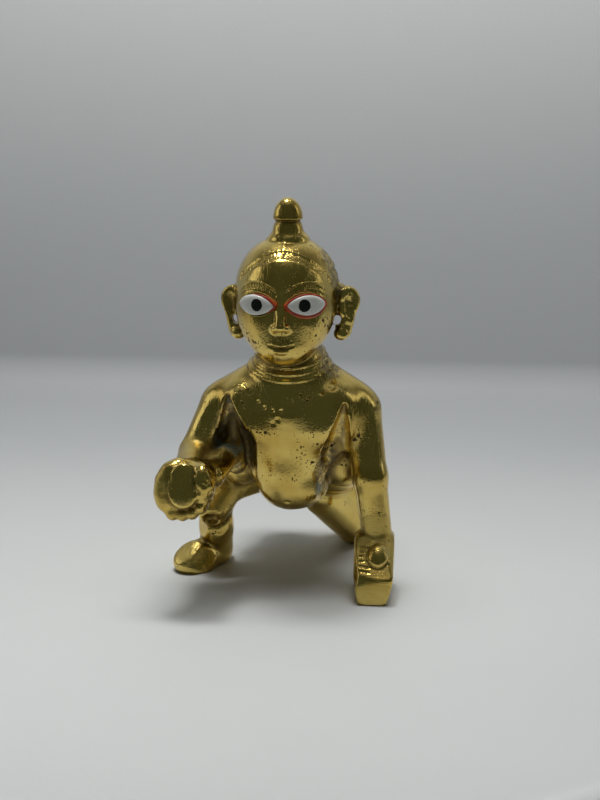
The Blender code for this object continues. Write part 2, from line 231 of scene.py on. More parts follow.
def right_upper_arm(points):
    return limb(points, (-15.4, 5.5, 39.4), (-20.2, 3.0, 29.8), 4.5, 3.9)


def right_forearm(points):
    lower = limb(points, (-20.4, 3.0, 29.4), (-19.8, -11.0, 28.2), 3.8, 3.9)
    inner = limb(points, (-12.6, 4.0, 30.5), (-15.4, -8.0, 27.8), 2.4, 2.8)
    palm = ball(points, (-20.4, -13.0, 26.3), (5.2, 4.4, 5.4))
    rim = [limb(points, *ends, RIM_RADIUS, RIM_RADIUS) for ends in zip(RIM_PLACES, RIM_PLACES[1:])]
    fingers = [ball(points, (x, -15.0, z), (1.5, 2.2, 1.6)) for x, z in FINGER_ENDS]
    heel = ball(points, (-16.4, -13.4, 27.4), (2.5, 4.2, 4.6))
    hand = joined([palm] + rim + [heel], 1.6)
    hand = joined([hand] + fingers, 0.5)
    sweet = overlap(
        ball(points, (-20.4, -13.9, 26.6), (4.6, 4.2, 7.4), (-20, 0, 0)),
        ball(points, (-20.0, -15.0, 27.2), (3.4, 30.0, 4.6), (-20, 0, 0)),
        0.2,
    )
    hand = carve(hand, sweet - SWEET_GAP, 0.1)
    return join(join(lower, inner, 2.0), join(hand, sweet, 0.08), 1.2)


# %% [markdown]
# ## The legs
# The right knee is drawn up and its foot stands flat. The left knee kneels, and its shin and toes trail
# behind, which is where the figure gets its third foothold. A cast figure is filed flat where it stands.

# %% Both legs
SHIN_FACETS = (
    ((-20.2, 10.6, 9.0), (-0.85, -0.52, 0.05), 0.4),
    ((-17.0, 9.8, 9.0), (0.42, -0.90, 0.10), 0.25),
)
FOOT_FACETS = (
    ((-24.0, 8.8, 4.9), (-0.35, -0.55, 0.75), 0.8),
    ((-19.6, 9.4, 4.2), (0.60, -0.74, 0.30), 0.3),
    ((-22.2, 6.5, 2.6), (0.12, -0.95, 0.28), 0.25),
)


def right_leg(points):
    hip = limb(points, (-6.0, 20.0, 22.6), (-13.4, 14.6, 19.6), 5.6, 4.0)
    knee = limb(points, (-14.6, 13.6, 19.8), (-18.0, 10.2, 14.6), 3.6, 3.8)
    calf = ball(points, (-18.0, 14.6, 10.6), (3.9, 4.4, 5.6), (-18, 0, 0))
    shin = limb(points, (-17.8, 10.2, 14.4), (-18.0, 16.0, 5.0), 4.0, 3.6)
    shin = faceted(join(calf, shin, 1.1), points, SHIN_FACETS)
    heel = ball(points, (-18.0, 18.2, 3.0), (3.3, 4.2, 3.4))
    toes = ball(points, (-22.6, 11.0, 2.0), (4.6, 5.2, 3.8), (0, 0, -38))
    sole = limb(points, (-18.6, 16.4, 2.6), (-22.0, 11.4, 2.4), 3.8, 4.0)
    foot = faceted(joined([heel, sole, toes], 1.1), points, FOOT_FACETS)
    whole = join(join(hip, knee, 1.1), join(shin, foot, 0.9), 1.1)
    dent = ball(points, (-18.0, 5.8, 12.6), (2.3, 3.6, 2.0))
    return carve(whole, dent, 0.4)


def left_leg(points):
    thigh = joined(
        [
            limb(points, (6.2, 23.4, 14.6), (12.2, 32.6, 5.4), 5.2, 4.9),
            limb(points, (8.6, 27.6, 18.0), (14.0, 34.0, 6.8), 6.2, 4.2),
        ],
        1.5,
    )
    shin = limb(points, (13.3, 33.4, 3.9), (11.4, 44.0, 2.8), 4.5, 3.2)
    calf = ball(points, (12.8, 38.4, 5.2), (3.9, 6.0, 3.9), (0, 0, 11))
    heel = ball(points, (11.2, 45.6, 5.0), (3.2, 3.4, 3.2))
    instep = limb(points, (11.4, 44.0, 2.8), (9.8, 50.2, 2.2), 3.2, 3.0)
    toes = slab(points, (9.4, 51.73, 1.4), (4.0, 2.8, 2.0), 1.6, (0, 0, 10))
    return joined([thigh, calf, shin, instep, heel, toes], 1.2)


# %% [markdown]
# ## The head
# The face is a smooth egg with full cheeks. It is a calm child's face on even proportions, with the eyes
# half way down the head. Features that lie on the skin, such as the brows, are drawn in wrapped
# coordinates: how far round the head a point is, and how high. That way they follow the curve of the face
# by themselves.

# %% Places on the face
HEAD_ASIDE = -0.7
FACE_AXIS = 4.5
FACE_WRAP = 11.0
EYE_APART = 5.35
EYE_LINE = 64.1
EYE_DEPTH = -7.55
EYE_TURN = 30.0
EYE_BEND_RADIUS = 11.0
BROW_APART = 5.1


def wrapped(points):
    """How far round the head each point is, in millimetres from the middle of the face."""
    return FACE_WRAP * np.arctan2(points[:, 0], FACE_AXIS - points[:, 1])


def line_relief(away, height, width):
    return height * np.exp(-np.square(away / width))


def arch(across, up, top, rise, reach):
    """Distance from an arch that is top high in the middle, and rise lower at reach to either side."""
    radius = (reach * reach + rise * rise) / (2.0 * rise)
    return np.hypot(across, up - top + radius) - radius


# %% Brows, nose and mouth
BROW_RISE = 0.10
BROW_SPAN = 4.9
BROW_UPPER = (68.5, 2.3, 4.8)
BROW_LOWER = (67.3, 1.9, 4.8)


def brow(points, side):
    """A low raised band over the eye, between two lines."""
    across, up = side * wrapped(points) - BROW_APART, points[:, 2]
    upper, lower = arch(across, up, *BROW_UPPER), arch(across, up, *BROW_LOWER)
    ends = np.clip((BROW_SPAN - np.abs(across)) / 0.8, 0.0, 1.0) * np.clip((up - 64.0) / 0.8, 0.0, 1.0)
    band = np.clip(0.5 - upper / 0.5, 0.0, 1.0) * np.clip(0.5 + lower / 0.5, 0.0, 1.0)
    lines = line_relief(upper, 0.16, 0.2) + line_relief(lower, 0.12, 0.2)
    return ends * (BROW_RISE * band + lines)


def face(points):
    skull = ball(points, (0.0, 4.2, 65.4), (10.5, 12.0, 11.4))
    cheeks = ball(points, (0.0, 0.8, 60.2), (9.6, 9.6, 9.2))
    chin = ball(points, (0.0, -3.6, 54.6), (4.4, 4.2, 3.4))
    whole = join(join(skull, cheeks, 4.0), chin, 4.0)
    whole = whole - brow(points, -1) - brow(points, 1)
    nose = limb(points, (0.0, -7.9, 65.6), (0.0, -10.0, 59.9), 0.7, 1.05)
    wings = joined([ball(points, (x, -8.9, 59.5), (0.9, 1.3, 0.85)) for x in (-1.0, 1.0)], 0.3)
    whole = join(whole, join(nose, wings, 0.5), 0.9)
    nostrils = np.minimum(*[ball(points, (x, -9.6, 58.7), (0.35, 0.45, 0.4)) for x in (-0.75, 0.75)])
    lips = joined(
        [
            ball(points, (-0.85, -8.0, 55.95), (1.35, 1.15, 0.62), (0, 14, 0)),
            ball(points, (0.85, -8.0, 55.95), (1.35, 1.15, 0.62), (0, -14, 0)),
        ],
        0.2,
    )
    lips = join(lips, ball(points, (0.0, -7.6, 54.5), (1.7, 1.25, 0.85)), 0.05)
    smile = arch(points[:, 0], -points[:, 2], -55.2, 0.5, 2.6)
    in_front, up = points[:, 1] < 0.0, points[:, 2]
    shown = np.clip((2.9 - np.abs(points[:, 0])) / 0.6, 0.0, 1.0) * in_front * (up < 58.0)
    philtrum = line_relief(points[:, 0], 0.12, 0.35) * np.clip(1.0 - np.abs(up - 57.6) / 0.9, 0.0, 1.0)
    parted = line_relief(smile, 0.28, 0.2) * shown + philtrum * in_front
    return join(carve(whole, nostrils, 0.2), lips, 0.3) + parted


# %% [markdown]
# The hair is a close cap whose edge stands a little proud of the forehead, a lock behind the neck, and a
# bun in two tiers. The ears are flat, long and pierced, as on most idols of this kind.

# %% Hair, topknot and ears
def hair(points):
    cap = ball(points, (0.0, 5.2, 65.6), (11.0, 12.4, 11.6))
    edge = (points - vector(0.0, -5.6, 73.2)) @ vector(0.0, -0.8, -0.6)
    cap = overlap(cap, edge, 0.25)
    lock = limb(points, (0.0, 10.2, 58.5), (0.6, 13.0, 46.0), 4.8, 5.4)
    parting = line_relief(points[:, 0], 0.25, 0.3) * (points[:, 1] < 4.0) * (points[:, 2] > 72.6)
    return join(cap, lock, 5.0) - parting


def topknot(points):
    foot = ball(points, (0.4, 4.3, 76.4), (4.4, 4.4, 1.7))
    drum = limb(points, (0.3, 4.2, 76.0), (0.3, 4.1, 78.2), 3.5, 3.2)
    dome = ball(points, (0.3, 4.0, 80.6), (3.15, 3.15, 4.4))
    dome = overlap(dome, 80.4 - points[:, 2], 0.4)
    groove = ring(points, (0.3, 4.0, 80.4), 3.5, 0.55)
    return join(carve(join(foot, drum, 1.0), groove, 0.15), dome, 0.1)


def ear(points, side):
    outline = joined(
        [
            limb(points, (side * 12.3, 4.6, 64.0), (side * 11.4, 4.4, 56.8), 2.4, 1.8),
            limb(points, (side * 10.4, 4.6, 65.6), (side * 12.7, 4.6, 63.0), 1.2, 1.9),
        ],
        1.2,
    )
    sheet = slab(points, (side * 12.0, 4.5, 61.0), (8.0, 1.5, 8.0), 0.8, (0, 0, side * 20))
    whole = overlap(outline, sheet, 0.6)
    hollow = ball(points, (side * 13.0, 2.9, 62.8), (1.2, 0.9, 2.8), (0, side * 8, 0))
    through = side * 10.6 + HEAD_ASIDE
    pierced = limb(points, (through, -4.0, 59.2), (through, 12.0, 59.2), 1.05, 1.05)
    bead = ball(points, (side * 11.0, 3.4, 56.4), (1.6, 1.5, 1.5))
    return join(carve(carve(whole, hollow, 0.5), pierced, 0.2), bead, 0.25)


# %% [markdown]
# The neck widens into the chest and carries three folds, the lucky lines of such figures. They are raised
# in the same way as the brows: the distance is lowered a little near three tilted planes.

# %% Neck and head together
FOLD_HEIGHTS = (52.0, 50.7, 49.4)
FOLD_TILT = 0.28
FOLD_RELIEF = 0.40
FOLD_WIDTH = 0.34


def folds(points):
    up = points[:, 2] - FOLD_TILT * (points[:, 1] - 5.2)
    near_neck = np.clip((11.2 - np.hypot(points[:, 0], points[:, 1] - 5.2)) / 1.5, 0.0, 1.0)
    return sum(line_relief(up - height, FOLD_RELIEF, FOLD_WIDTH) for height in FOLD_HEIGHTS) * near_neck


def neck(points):
    return limb(points, (0.0, 6.4, 41.0), (0.0, 5.0, 56.0), 11.0, 5.8)


def head(points):
    leaning = points - vector(HEAD_ASIDE, 0.0, 0.0)
    skull = join(face(leaning), hair(leaning), 0.12)
    skull = join(skull, topknot(leaning), 0.7)
    skull = join(skull, joined(sides(ear, points), 0.5), 0.6)
    return join(skull, neck(points), 0.8)


# %% [markdown]
# ## The eye seats
# Each plate lies in a pocket. In the plate's own axes its outline is a lens, the overlap of two circles,
# and the whole plate is bent back with the face. Plate, pocket and the red lac line all come from these
# sizes.

# %% The shape of an eye
EYE_LENGTH = 8.6
EYE_HEIGHT = 4.2
EYE_THICKNESS = 1.3
EYE_STAND_OUT = 0.5
EYE_DOME = 0.5
SEAT_GAP = 0.3
LENS_POINT = 1.4


def eye_place(side):
    middle = Matrix.Translation(Vector((HEAD_ASIDE + side * EYE_APART, EYE_DEPTH, EYE_LINE)))
    return middle @ Matrix.Rotation(math.radians(side * EYE_TURN), 4, "Z")


def eye_pocket(points, side):
    middle = (HEAD_ASIDE + side * EYE_APART, EYE_DEPTH, EYE_LINE)
    local = turned(points, middle, (0, 0, side * EYE_TURN))
    reach, rise = 0.5 * EYE_LENGTH + SEAT_GAP, 0.5 * EYE_HEIGHT + SEAT_GAP
    lens = arch(local[:, 0], np.abs(local[:, 2]), rise, rise, reach)
    floor = local[:, 1] - np.square(local[:, 0]) / (2.0 * EYE_BEND_RADIUS)
    return np.maximum(lens, floor - (EYE_THICKNESS - EYE_STAND_OUT + SEAT_GAP))


# %% [markdown]
# ## Rough skin
# Where a file could not reach, the casting keeps its sandy skin: in the hollows, behind the left ear and
# cheek, beside the neck, and under the hand. The places are lists of eggs, a middle and its radii. The raw
# ones roughen the shape here and colour the metal later, and the pitted, filed and dirty ones only change
# the metal. The lumps are a sum of waves with a fixed seed.

# %% Where the skin is raw, and how rough it is
RAW_PATCHES = (
    ((-11.8, 2.6, 34.0), (4.6, 4.6, 9.5)),
    ((8.0, 2.0, 26.0), (2.8, 4.6, 7.0)),
    ((11.6, 4.4, 38.0), (1.6, 3.0, 6.0)),
    ((9.6, 4.6, 71.0), (3.4, 5.4, 7.0)),
    ((8.6, 4.0, 50.5), (3.0, 4.0, 5.0)),
)
ROUGH_LUMPS = (
    ((-15.6, -15.4, 26.0), (2.4, 3.6, 4.0)),
    ((-14.0, 6.0, 21.0), (5.0, 5.0, 3.0)),
    ((12.0, 1.6, 61.0), (2.6, 3.4, 5.6)),
)
PITTED_PLACES = (
    ((12.0, 2.0, 61.0), (2.8, 4.0, 6.0)),
    ((-12.6, 2.0, 61.0), (2.6, 4.0, 6.0)),
    ((-0.7, -6.0, 54.6), (8.0, 6.0, 4.6)),
    ((-6.6, -4.0, 60.0), (4.0, 5.0, 4.0)),
    ((6.4, -4.0, 58.6), (4.4, 5.0, 4.6)),
    ((6.6, -2.0, 32.0), (5.0, 6.0, 6.0)),
    ((-7.4, -2.0, 30.0), (3.0, 6.0, 5.0)),
    ((18.0, 0.0, 14.0), (5.0, 6.0, 6.0)),
    ((-2.0, -6.0, 45.0), (13.0, 6.0, 3.0)),
)
FILED_PLACES = (
    ((18.8, -8.6, 2.6), (5.0, 2.0, 3.0)),
    ((18.4, 0.0, 13.4), (4.6, 6.0, 4.6)),
    ((-13.4, 6.0, 19.0), (7.0, 7.0, 4.4)),
    ((-19.0, -2.0, 32.0), (6.0, 8.0, 2.6)),
    ((-25.0, -15.0, 26.0), (1.7, 6.0, 6.0)),
    ((-21.0, -15.0, 20.6), (5.0, 6.0, 2.6)),
    ((-23.6, 9.0, 5.0), (3.4, 5.0, 3.0)),
)
DIRTY_PLACES = (
    ((-18.0, 7.4, 12.4), (1.6, 2.6, 1.4)),
    ((-12.0, 4.0, 36.0), (1.4, 4.0, 5.0)),
    ((10.4, 4.0, 30.0), (1.4, 3.0, 4.0)),
)
rng = np.random.default_rng(7)
WAVES = [(rng.normal(size=3), rng.uniform(0.0, 2.0 * math.pi)) for _ in range(18)]


def within(points, places):
    """1 inside the eggs of places, 0 outside, with a soft edge."""
    deepest = np.minimum.reduce([ball(points, centre, radii) for centre, radii in places])
    return np.clip(0.5 - deepest / 1.6, 0.0, 1.0)


def lumps(points):
    total = np.zeros(len(points))
    for number, (direction, phase) in enumerate(WAVES):
        wavelength = 0.7 + 0.16 * number
        unit = direction / np.linalg.norm(direction)
        total += math.sqrt(wavelength) * np.sin(points @ unit * 2.0 * math.pi / wavelength + phase)
    return total / 9.0


# %% [markdown]
# ## The whole figure
# Everything is joined with a fillet of its own size, and the ground plane cuts the soles flat. A very slow
# wave is added all over: no hand-filed surface is a perfect curve, and this is what makes the reflections
# wander.

# %% One distance for the figure
FILE_WAVES = 0.05
RAW_LUMPS = 0.17


def figure(points):
    whole = join(torso(points), left_arm(points), 2.0)
    whole = join(whole, right_upper_arm(points), 2.0)
    whole = carve(whole, hollows(points), 0.25)
    whole = join(whole, web(points), 0.6)
    whole = join(whole, right_leg(points), 1.2)
    whole = join(whole, left_leg(points), 0.7)
    whole = join(whole, right_forearm(points), 1.2)
    whole = join(whole, head(points), 1.2) - folds(points)
    whole = carve(whole, np.minimum(*sides(eye_pocket, points)), 0.05)
    return np.maximum(whole, -points[:, 2])


def skin(points):
    """The figure with its hand-filed waves and its raw lumps."""
    standing = np.clip(points[:, 2] / 1.5, 0.0, 1.0)
    rough = np.maximum(within(points, RAW_PATCHES), within(points, ROUGH_LUMPS))
    uneven = FILE_WAVES * lumps(points / 4.5) + RAW_LUMPS * rough * lumps(points)
    return np.maximum(figure(points) + standing * uneven, -points[:, 2])


# %% [markdown]
# ## From distance to mesh
# Sampled on a grid, the distance changes sign wherever the surface passes. One point goes in each cell that
# is crossed, and one quad round each grid edge that is crossed. Far from the surface a coarse grid is
# enough, so the fine samples are taken only near it.

# %% Sampling the distance
GRID_LOW = (-30.0, -26.0, -3.0)
GRID_HIGH = (28.0, 62.0, 88.0)
GRID_STEP = 0.62
COARSE = 4
NEAR_SKIN = 4.5


def sampled(shape, low, high, step):
    counts = np.ceil((vector(*high) - vector(*low)) / step / COARSE).astype(int) * COARSE + 1
    axes = [low[i] + step * np.arange(counts[i]) for i in range(3)]
    coarse = [axis[::COARSE] for axis in axes]
    corners = np.stack(np.meshgrid(*coarse, indexing="ij"), axis=-1)
    rough = shape(corners.reshape(-1, 3)).reshape(corners.shape[:3])
    places = [np.minimum((np.arange(n) + COARSE // 2) // COARSE, len(c) - 1) for n, c in zip(counts, coarse)]
    value = rough[np.ix_(*places)].copy()
    near = np.argwhere(np.abs(value) < NEAR_SKIN)
    fine = shape(vector(*low) + step * near)
    value[tuple(near.T)] = fine
    print("samples:", len(near), "of", value.size)
    return value


# %% [markdown]
# Where two sheets of the surface would share an edge, the mesh would stop being a solid. The weaker empty
# sample there is filled, which closes a crack no wider than the grid.

# %% Keeping it one solid
def one_sheet(value):
    shared = True
    while shared:
        shared = False
        for first, second in ((0, 1), (1, 2), (2, 0)):
            corners = [np.roll(value, (-a, -b), (first, second)) for a, b in ((0, 0), (1, 0), (1, 1), (0, 1))]
            signs = [corner < 0.0 for corner in corners]
            crossed = (signs[0] == signs[2]) & (signs[1] == signs[3]) & (signs[0] != signs[1])
            for cell in np.argwhere(crossed):
                empty = [corner[tuple(cell)] for corner in corners]
                weaker = int(np.argmin([height if height >= 0.0 else np.inf for height in empty]))
                cell[first] += (0, 1, 1, 0)[weaker]
                cell[second] += (0, 0, 1, 1)[weaker]
                value[tuple(cell)] = -abs(value[tuple(cell)]) - 1e-6
                shared = True
    return value


# %% Points and quads
def grid_surface(value, low, step):
    inside = value < 0.0
    cells = tuple(n - 1 for n in value.shape)
    place, crossings = np.zeros(cells + (3,)), np.zeros(cells)
    for axis in range(3):
        ahead = np.roll(value, -1, axis)
        crossed = inside != np.roll(inside, -1, axis)
        share = value / np.where(crossed, value - ahead, 1.0)
        for near in (0, 1):
            for far in (0, 1):
                offset = np.insert([near, far], axis, 0)
                window = tuple(slice(o, o + n) for o, n in zip(offset, cells))
                hit = crossed[window]
                crossings += hit
                for other in range(3):
                    along = share[window] if other == axis else float(offset[other])
                    place[..., other] += np.where(hit, along, 0.0)
    used = crossings > 0
    number = np.full(cells, -1)
    number[used] = np.arange(used.sum())
    where = np.argwhere(used) + place[used] / crossings[used][:, None]
    quads = []
    for axis in range(3):
        first, second = (axis + 1) % 3, (axis + 2) % 3
        edges = np.argwhere(inside != np.roll(inside, -1, axis))
        edges = edges[(edges[:, first] > 0) & (edges[:, second] > 0) & (edges[:, axis] < cells[axis])]
        around = []
        for back_first, back_second in ((0, 0), (1, 0), (1, 1), (0, 1)):
            cell = edges.copy()
            cell[:, first] -= back_first
            cell[:, second] -= back_second
            around.append(number[tuple(cell.T)])
        quad = np.stack(around, axis=1)
        leaving = inside[tuple(edges.T)]
        quads.append(np.where(leaving[:, None], quad, quad[:, ::-1]))
    return vector(*low) + step * where, np.concatenate(quads)


# %% [markdown]
# The points of the grid lie only near the surface. A few small steps down the slope of the distance settle
# them on it exactly, which sharpens every crease. The slope is also the surface's normal.

# %% Settling the points
def slope(shape, points, reach=0.05):
    steps = [shape(points + reach * axis) - shape(points - reach * axis) for axis in np.eye(3)]
    return np.stack(steps, axis=1) / (2.0 * reach)


def settled(shape, points, rounds):
    for _ in range(rounds):
        way = slope(shape, points)
        square = np.maximum((way**2).sum(axis=1), 0.2)
        points = points - np.clip(shape(points) / square, -0.3, 0.3)[:, None] * way
    return points


def to_world(points):
    """Figure millimetres to the frame's metres."""
    return (points - vector(*STANDING_MIDDLE)) * MM


value = one_sheet(sampled(skin, GRID_LOW, GRID_HIGH, GRID_STEP))
points, quads = grid_surface(value, GRID_LOW, GRID_STEP)
points = settled(skin, points, 2)
print("cast surface:", len(points), "points,", len(quads), "quads")

# %% [markdown]
# ## More mesh where there is carving
# Features finer than the grid need finer quads, but only there. The quads near the head, the hands and the
# feet are cut in four, and those on the face once more, and all their points are settled again.

# %% Cutting quads in four
FINE_PLACES = (
    ((0.0, -1.5, 67.0), (16.5, 11.5, 21.0)),
    ((-20.0, -14.0, 26.0), (7.0, 7.5, 8.0)),
    ((18.8, -3.0, 5.0), (6.0, 8.0, 8.0)),
    ((-21.5, 10.0, 5.0), (7.0, 7.0, 6.0)),
    ((9.6, 51.0, 2.0), (5.0, 5.0, 4.0)),
    ((-0.2, -2.4, 21.0), (3.0, 3.0, 3.0)),
    ((0.0, -4.5, 41.0), (13.0, 3.6, 5.6)),
)
FACE_PLACES = (((HEAD_ASIDE, -9.0, 62.5), (10.2, 8.0, 12.2)),)


def cut_in_four(mesh, places):
    shape = bmesh.new()
    shape.from_mesh(mesh)
    middles = np.array([face.calc_center_median() for face in shape.faces])
    shape.faces.ensure_lookup_table()
    near = np.minimum.reduce([ball(middles, centre, radii) for centre, radii in places]) < 0.0
    edges = {edge for index in np.flatnonzero(near) for edge in shape.faces[index].edges}
    bmesh.ops.subdivide_edges(shape, edges=list(edges), cuts=1, use_grid_fill=True)
    shape.to_mesh(mesh)
    shape.free()


def mesh_points(mesh):
    flat = np.empty(3 * len(mesh.vertices))
    mesh.vertices.foreach_get("co", flat)
    return flat.reshape(-1, 3)


casting_mesh = bpy.data.meshes.new("cast_idol")
casting_mesh.from_pydata(points.tolist(), [], quads.tolist())
for places in (FINE_PLACES, FACE_PLACES):
    cut_in_four(casting_mesh, places)
    casting_mesh.vertices.foreach_set("co", settled(skin, mesh_points(casting_mesh), 2).ravel())
casting_mesh.calc_loop_triangles()
print("with carving:", len(casting_mesh.vertices), "points,", len(casting_mesh.loop_triangles), "triangles")

# %% [markdown]
# ## Engraving
# The maker went over the polished casting with a graver: short strokes along the hairline, hatching in the
# brows, lines between the toes, file cuts on the left hand and punch marks on the chest. Each is a short
# edge laid on the skin, found by walking along a ray until the distance is nil. A Geometry Nodes tree then
# presses the casting in wherever it is close to a stroke.

# %% Finding the skin along a ray
def on_skin(starts, directions):
    """Where each ray first meets the brass."""
    spots = starts.copy()
    for _ in range(40):
        spots = spots + 0.8 * np.clip(figure(spots), -1.0, 1.0)[:, None] * directions
    return spots


def on_head(across, up):
    """The skin of the head at these wrapped coordinates."""
    across, up = np.atleast_1d(across), np.atleast_1d(up)
    angle = across / FACE_WRAP
    outward = np.stack([np.sin(angle), -np.cos(angle), np.zeros(len(angle))], axis=1)
    axis = np.stack([np.full(len(angle), HEAD_ASIDE), np.full(len(angle), FACE_AXIS), up], axis=1)
    return on_skin(axis + 15.0 * outward, -outward)


def from_front(across, up, start=-30.0):
    spots = np.stack([across, np.full(len(across), start), up], axis=1)
    return on_skin(spots, np.tile(vector(0.0, 1.0, 0.0), (len(spots), 1)))


# %% Strokes on the head
def hairline(across):
    return 73.9 - 0.036 * across**2


def brow_strokes(side):
    across = np.linspace(-4.2, 4.3, 22)
    foot = BROW_LOWER[0] - BROW_LOWER[1] * (across / BROW_LOWER[2]) ** 2
    tip = BROW_UPPER[0] - BROW_UPPER[1] * (across / BROW_UPPER[2]) ** 2
    feet = on_head(side * (BROW_APART + across), foot + 0.15)
    tips = on_head(side * (BROW_APART + across + 0.1), tip - 0.1)
    return feet, tips


hair_across = np.linspace(-11.5, 11.5, 37)
hair_feet = on_head(hair_across, hairline(hair_across) - 0.9)
hair_tips = on_head(hair_across * 0.985, hairline(hair_across) + 0.6)
strokes = [(hair_feet, hair_tips)] + [brow_strokes(side) for side in (-1, 1)]

# %% Strokes on hands and feet, and punch marks
def spaced(start, end, count):
    return np.linspace(vector(*start), vector(*end), count)


def from_above(start, end, count):
    """Spots on the skin straight below a line of evenly spaced points."""
    return on_skin(spaced(start, end, count), np.tile(vector(0.0, 0.0, -1.0), (count, 1)))


TOES, FILE_CUTS = 3, 6
toe_feet = from_above((-24.6, 9.4, 12.0), (-20.2, 6.8, 12.0), TOES)
toe_tips = from_above((-23.6, 11.4, 12.0), (-19.4, 9.0, 12.0), TOES)
cut_starts = from_above((15.9, -7.2, 16.0), (15.9, -2.6, 16.0), FILE_CUTS)
cut_ends = from_above((17.7, -7.5, 16.0), (17.8, -2.8, 16.0), FILE_CUTS)
strokes += [(toe_feet, toe_tips), (cut_starts, cut_ends)]
PUNCH_MARKS = (
    (-10.0, 47.1),
    (-8.2, 44.4),
    (-6.2, 42.7),
    (-4.8, 41.5),
    (-3.0, 41.0),
    (-1.2, 41.0),
    (1.3, 42.7),
    (-1.9, 39.1),
    (-2.8, 38.2),
    (4.8, 43.7),
    (7.0, 44.7),
    (9.2, 45.4),
    (12.0, 46.5),
)
PUNCH_LENGTH = vector(0.10, 0.0, 0.04)
punched = from_front(*np.array(PUNCH_MARKS).T)
dots = [(punched, punched + PUNCH_LENGTH)]

# %% The strokes as loose edges
def loose_edges(name, pairs):
    points = np.concatenate([np.stack(pair, axis=1).reshape(-1, 3) for pair in pairs])
    mesh = bpy.data.meshes.new(name)
    mesh.from_pydata(points.tolist(), [(i, i + 1) for i in range(0, len(points), 2)], [])
    made = bpy.data.objects.new(name, mesh)
    bpy.context.scene.collection.objects.link(made)
    print(name, "edges:", len(mesh.edges))
    return made


graver_strokes, punch_dots = loose_edges("graver_strokes", strokes), loose_edges("punch_dots", dots)

# %% [markdown]
# The tree measures how far each point of the casting is from the nearest stroke, turns that into a smooth
# groove, and moves the point inwards along its normal. Width and depth are the tree's own inputs.

# %% The engraving tree
def add_node(tree, kind, **inputs):
    node = tree.nodes.new(kind)
    for name, value in inputs.items():
        socket = node.inputs[int(name[1:])] if name[0] == "i" and name[1:].isdigit() else node.inputs[name]
        if isinstance(value, bpy.types.NodeSocket):
            tree.links.new(value, socket)
        else:
            socket.default_value = value
    return node


def engraving_tree():
    tree = bpy.data.node_groups.new("engrave", "GeometryNodeTree")
    tree.interface.new_socket("Geometry", in_out="INPUT", socket_type="NodeSocketGeometry")
    tree.interface.new_socket("Strokes", in_out="INPUT", socket_type="NodeSocketObject")
    tree.interface.new_socket("Width", in_out="INPUT", socket_type="NodeSocketFloat")
    tree.interface.new_socket("Depth", in_out="INPUT", socket_type="NodeSocketFloat")
    tree.interface.new_socket("Geometry", in_out="OUTPUT", socket_type="NodeSocketGeometry")
    given = tree.nodes.new("NodeGroupInput")
    laid = add_node(tree, "GeometryNodeObjectInfo", Object=given.outputs["Strokes"])
    near = add_node(tree, "GeometryNodeProximity")
    near.target_element = "EDGES"
    tree.links.new(laid.outputs["Geometry"], near.inputs[0])
    groove = add_node(tree, "ShaderNodeMapRange")
    groove.interpolation_type = "SMOOTHSTEP"
    tree.links.new(near.outputs["Distance"], groove.inputs["Value"])
    tree.links.new(given.outputs["Width"], groove.inputs["From Max"])
    groove.inputs["To Min"].default_value = -1.0
    groove.inputs["To Max"].default_value = 0.0
    deep = add_node(tree, "ShaderNodeMath", i0=groove.outputs["Result"], i1=given.outputs["Depth"])
    deep.operation = "MULTIPLY"
    normal = tree.nodes.new("GeometryNodeInputNormal")
    inward = add_node(tree, "ShaderNodeVectorMath", i0=normal.outputs["Normal"])
    inward.operation = "SCALE"
    tree.links.new(deep.outputs[0], inward.inputs["Scale"])
    moved = add_node(tree, "GeometryNodeSetPosition", Geometry=given.outputs["Geometry"])
    tree.links.new(inward.outputs[0], moved.inputs["Offset"])
    result = tree.nodes.new("NodeGroupOutput")
    tree.links.new(moved.outputs["Geometry"], result.inputs["Geometry"])
    return tree


def modifier_input(modifier, name, value):
    sockets = modifier.node_group.interface.items_tree
    identifier = next(item.identifier for item in sockets if item.name == name and item.in_out == "INPUT")
    modifier[identifier] = value


# %% Engraving the casting
STROKE_WIDTH = 0.3
STROKE_DEPTH = 0.2
DOT_WIDTH = 0.6
DOT_DEPTH = 0.42
casting = bpy.data.objects.new("cast_idol", casting_mesh)
bpy.context.scene.collection.objects.link(casting)
ENGRAVE = engraving_tree()
for tool, width, depth in ((graver_strokes, STROKE_WIDTH, STROKE_DEPTH), (punch_dots, DOT_WIDTH, DOT_DEPTH)):
    engrave = casting.modifiers.new(tool.name, "NODES")
    engrave.node_group = ENGRAVE
    modifier_input(engrave, "Strokes", tool)
    modifier_input(engrave, "Width", width)
    modifier_input(engrave, "Depth", depth)
bpy.context.view_layer.update()
depsgraph = bpy.context.evaluated_depsgraph_get()
casting.data = bpy.data.meshes.new_from_object(casting.evaluated_get(depsgraph))
casting.modifiers.clear()
for tool in (graver_strokes, punch_dots):
    bpy.data.objects.remove(tool)

# %% [markdown]
# ## What the surface remembers
# Four numbers are kept at each point for the metal's shader. One says how deep the point lies in a crease,
# from the distance a little way out along its normal: over open skin that equals the way gone, and in a
# crease it is less. The others say how raw, how pitted and how much filed the casting is there.

# %% Creases, raw skin, pits and filing as attributes
CREASE_REACH = 1.6


def keep(mesh, name, values):
    layer = mesh.attributes.new(name, "FLOAT", "POINT")
    layer.data.foreach_set("value", np.asarray(values, np.float32))


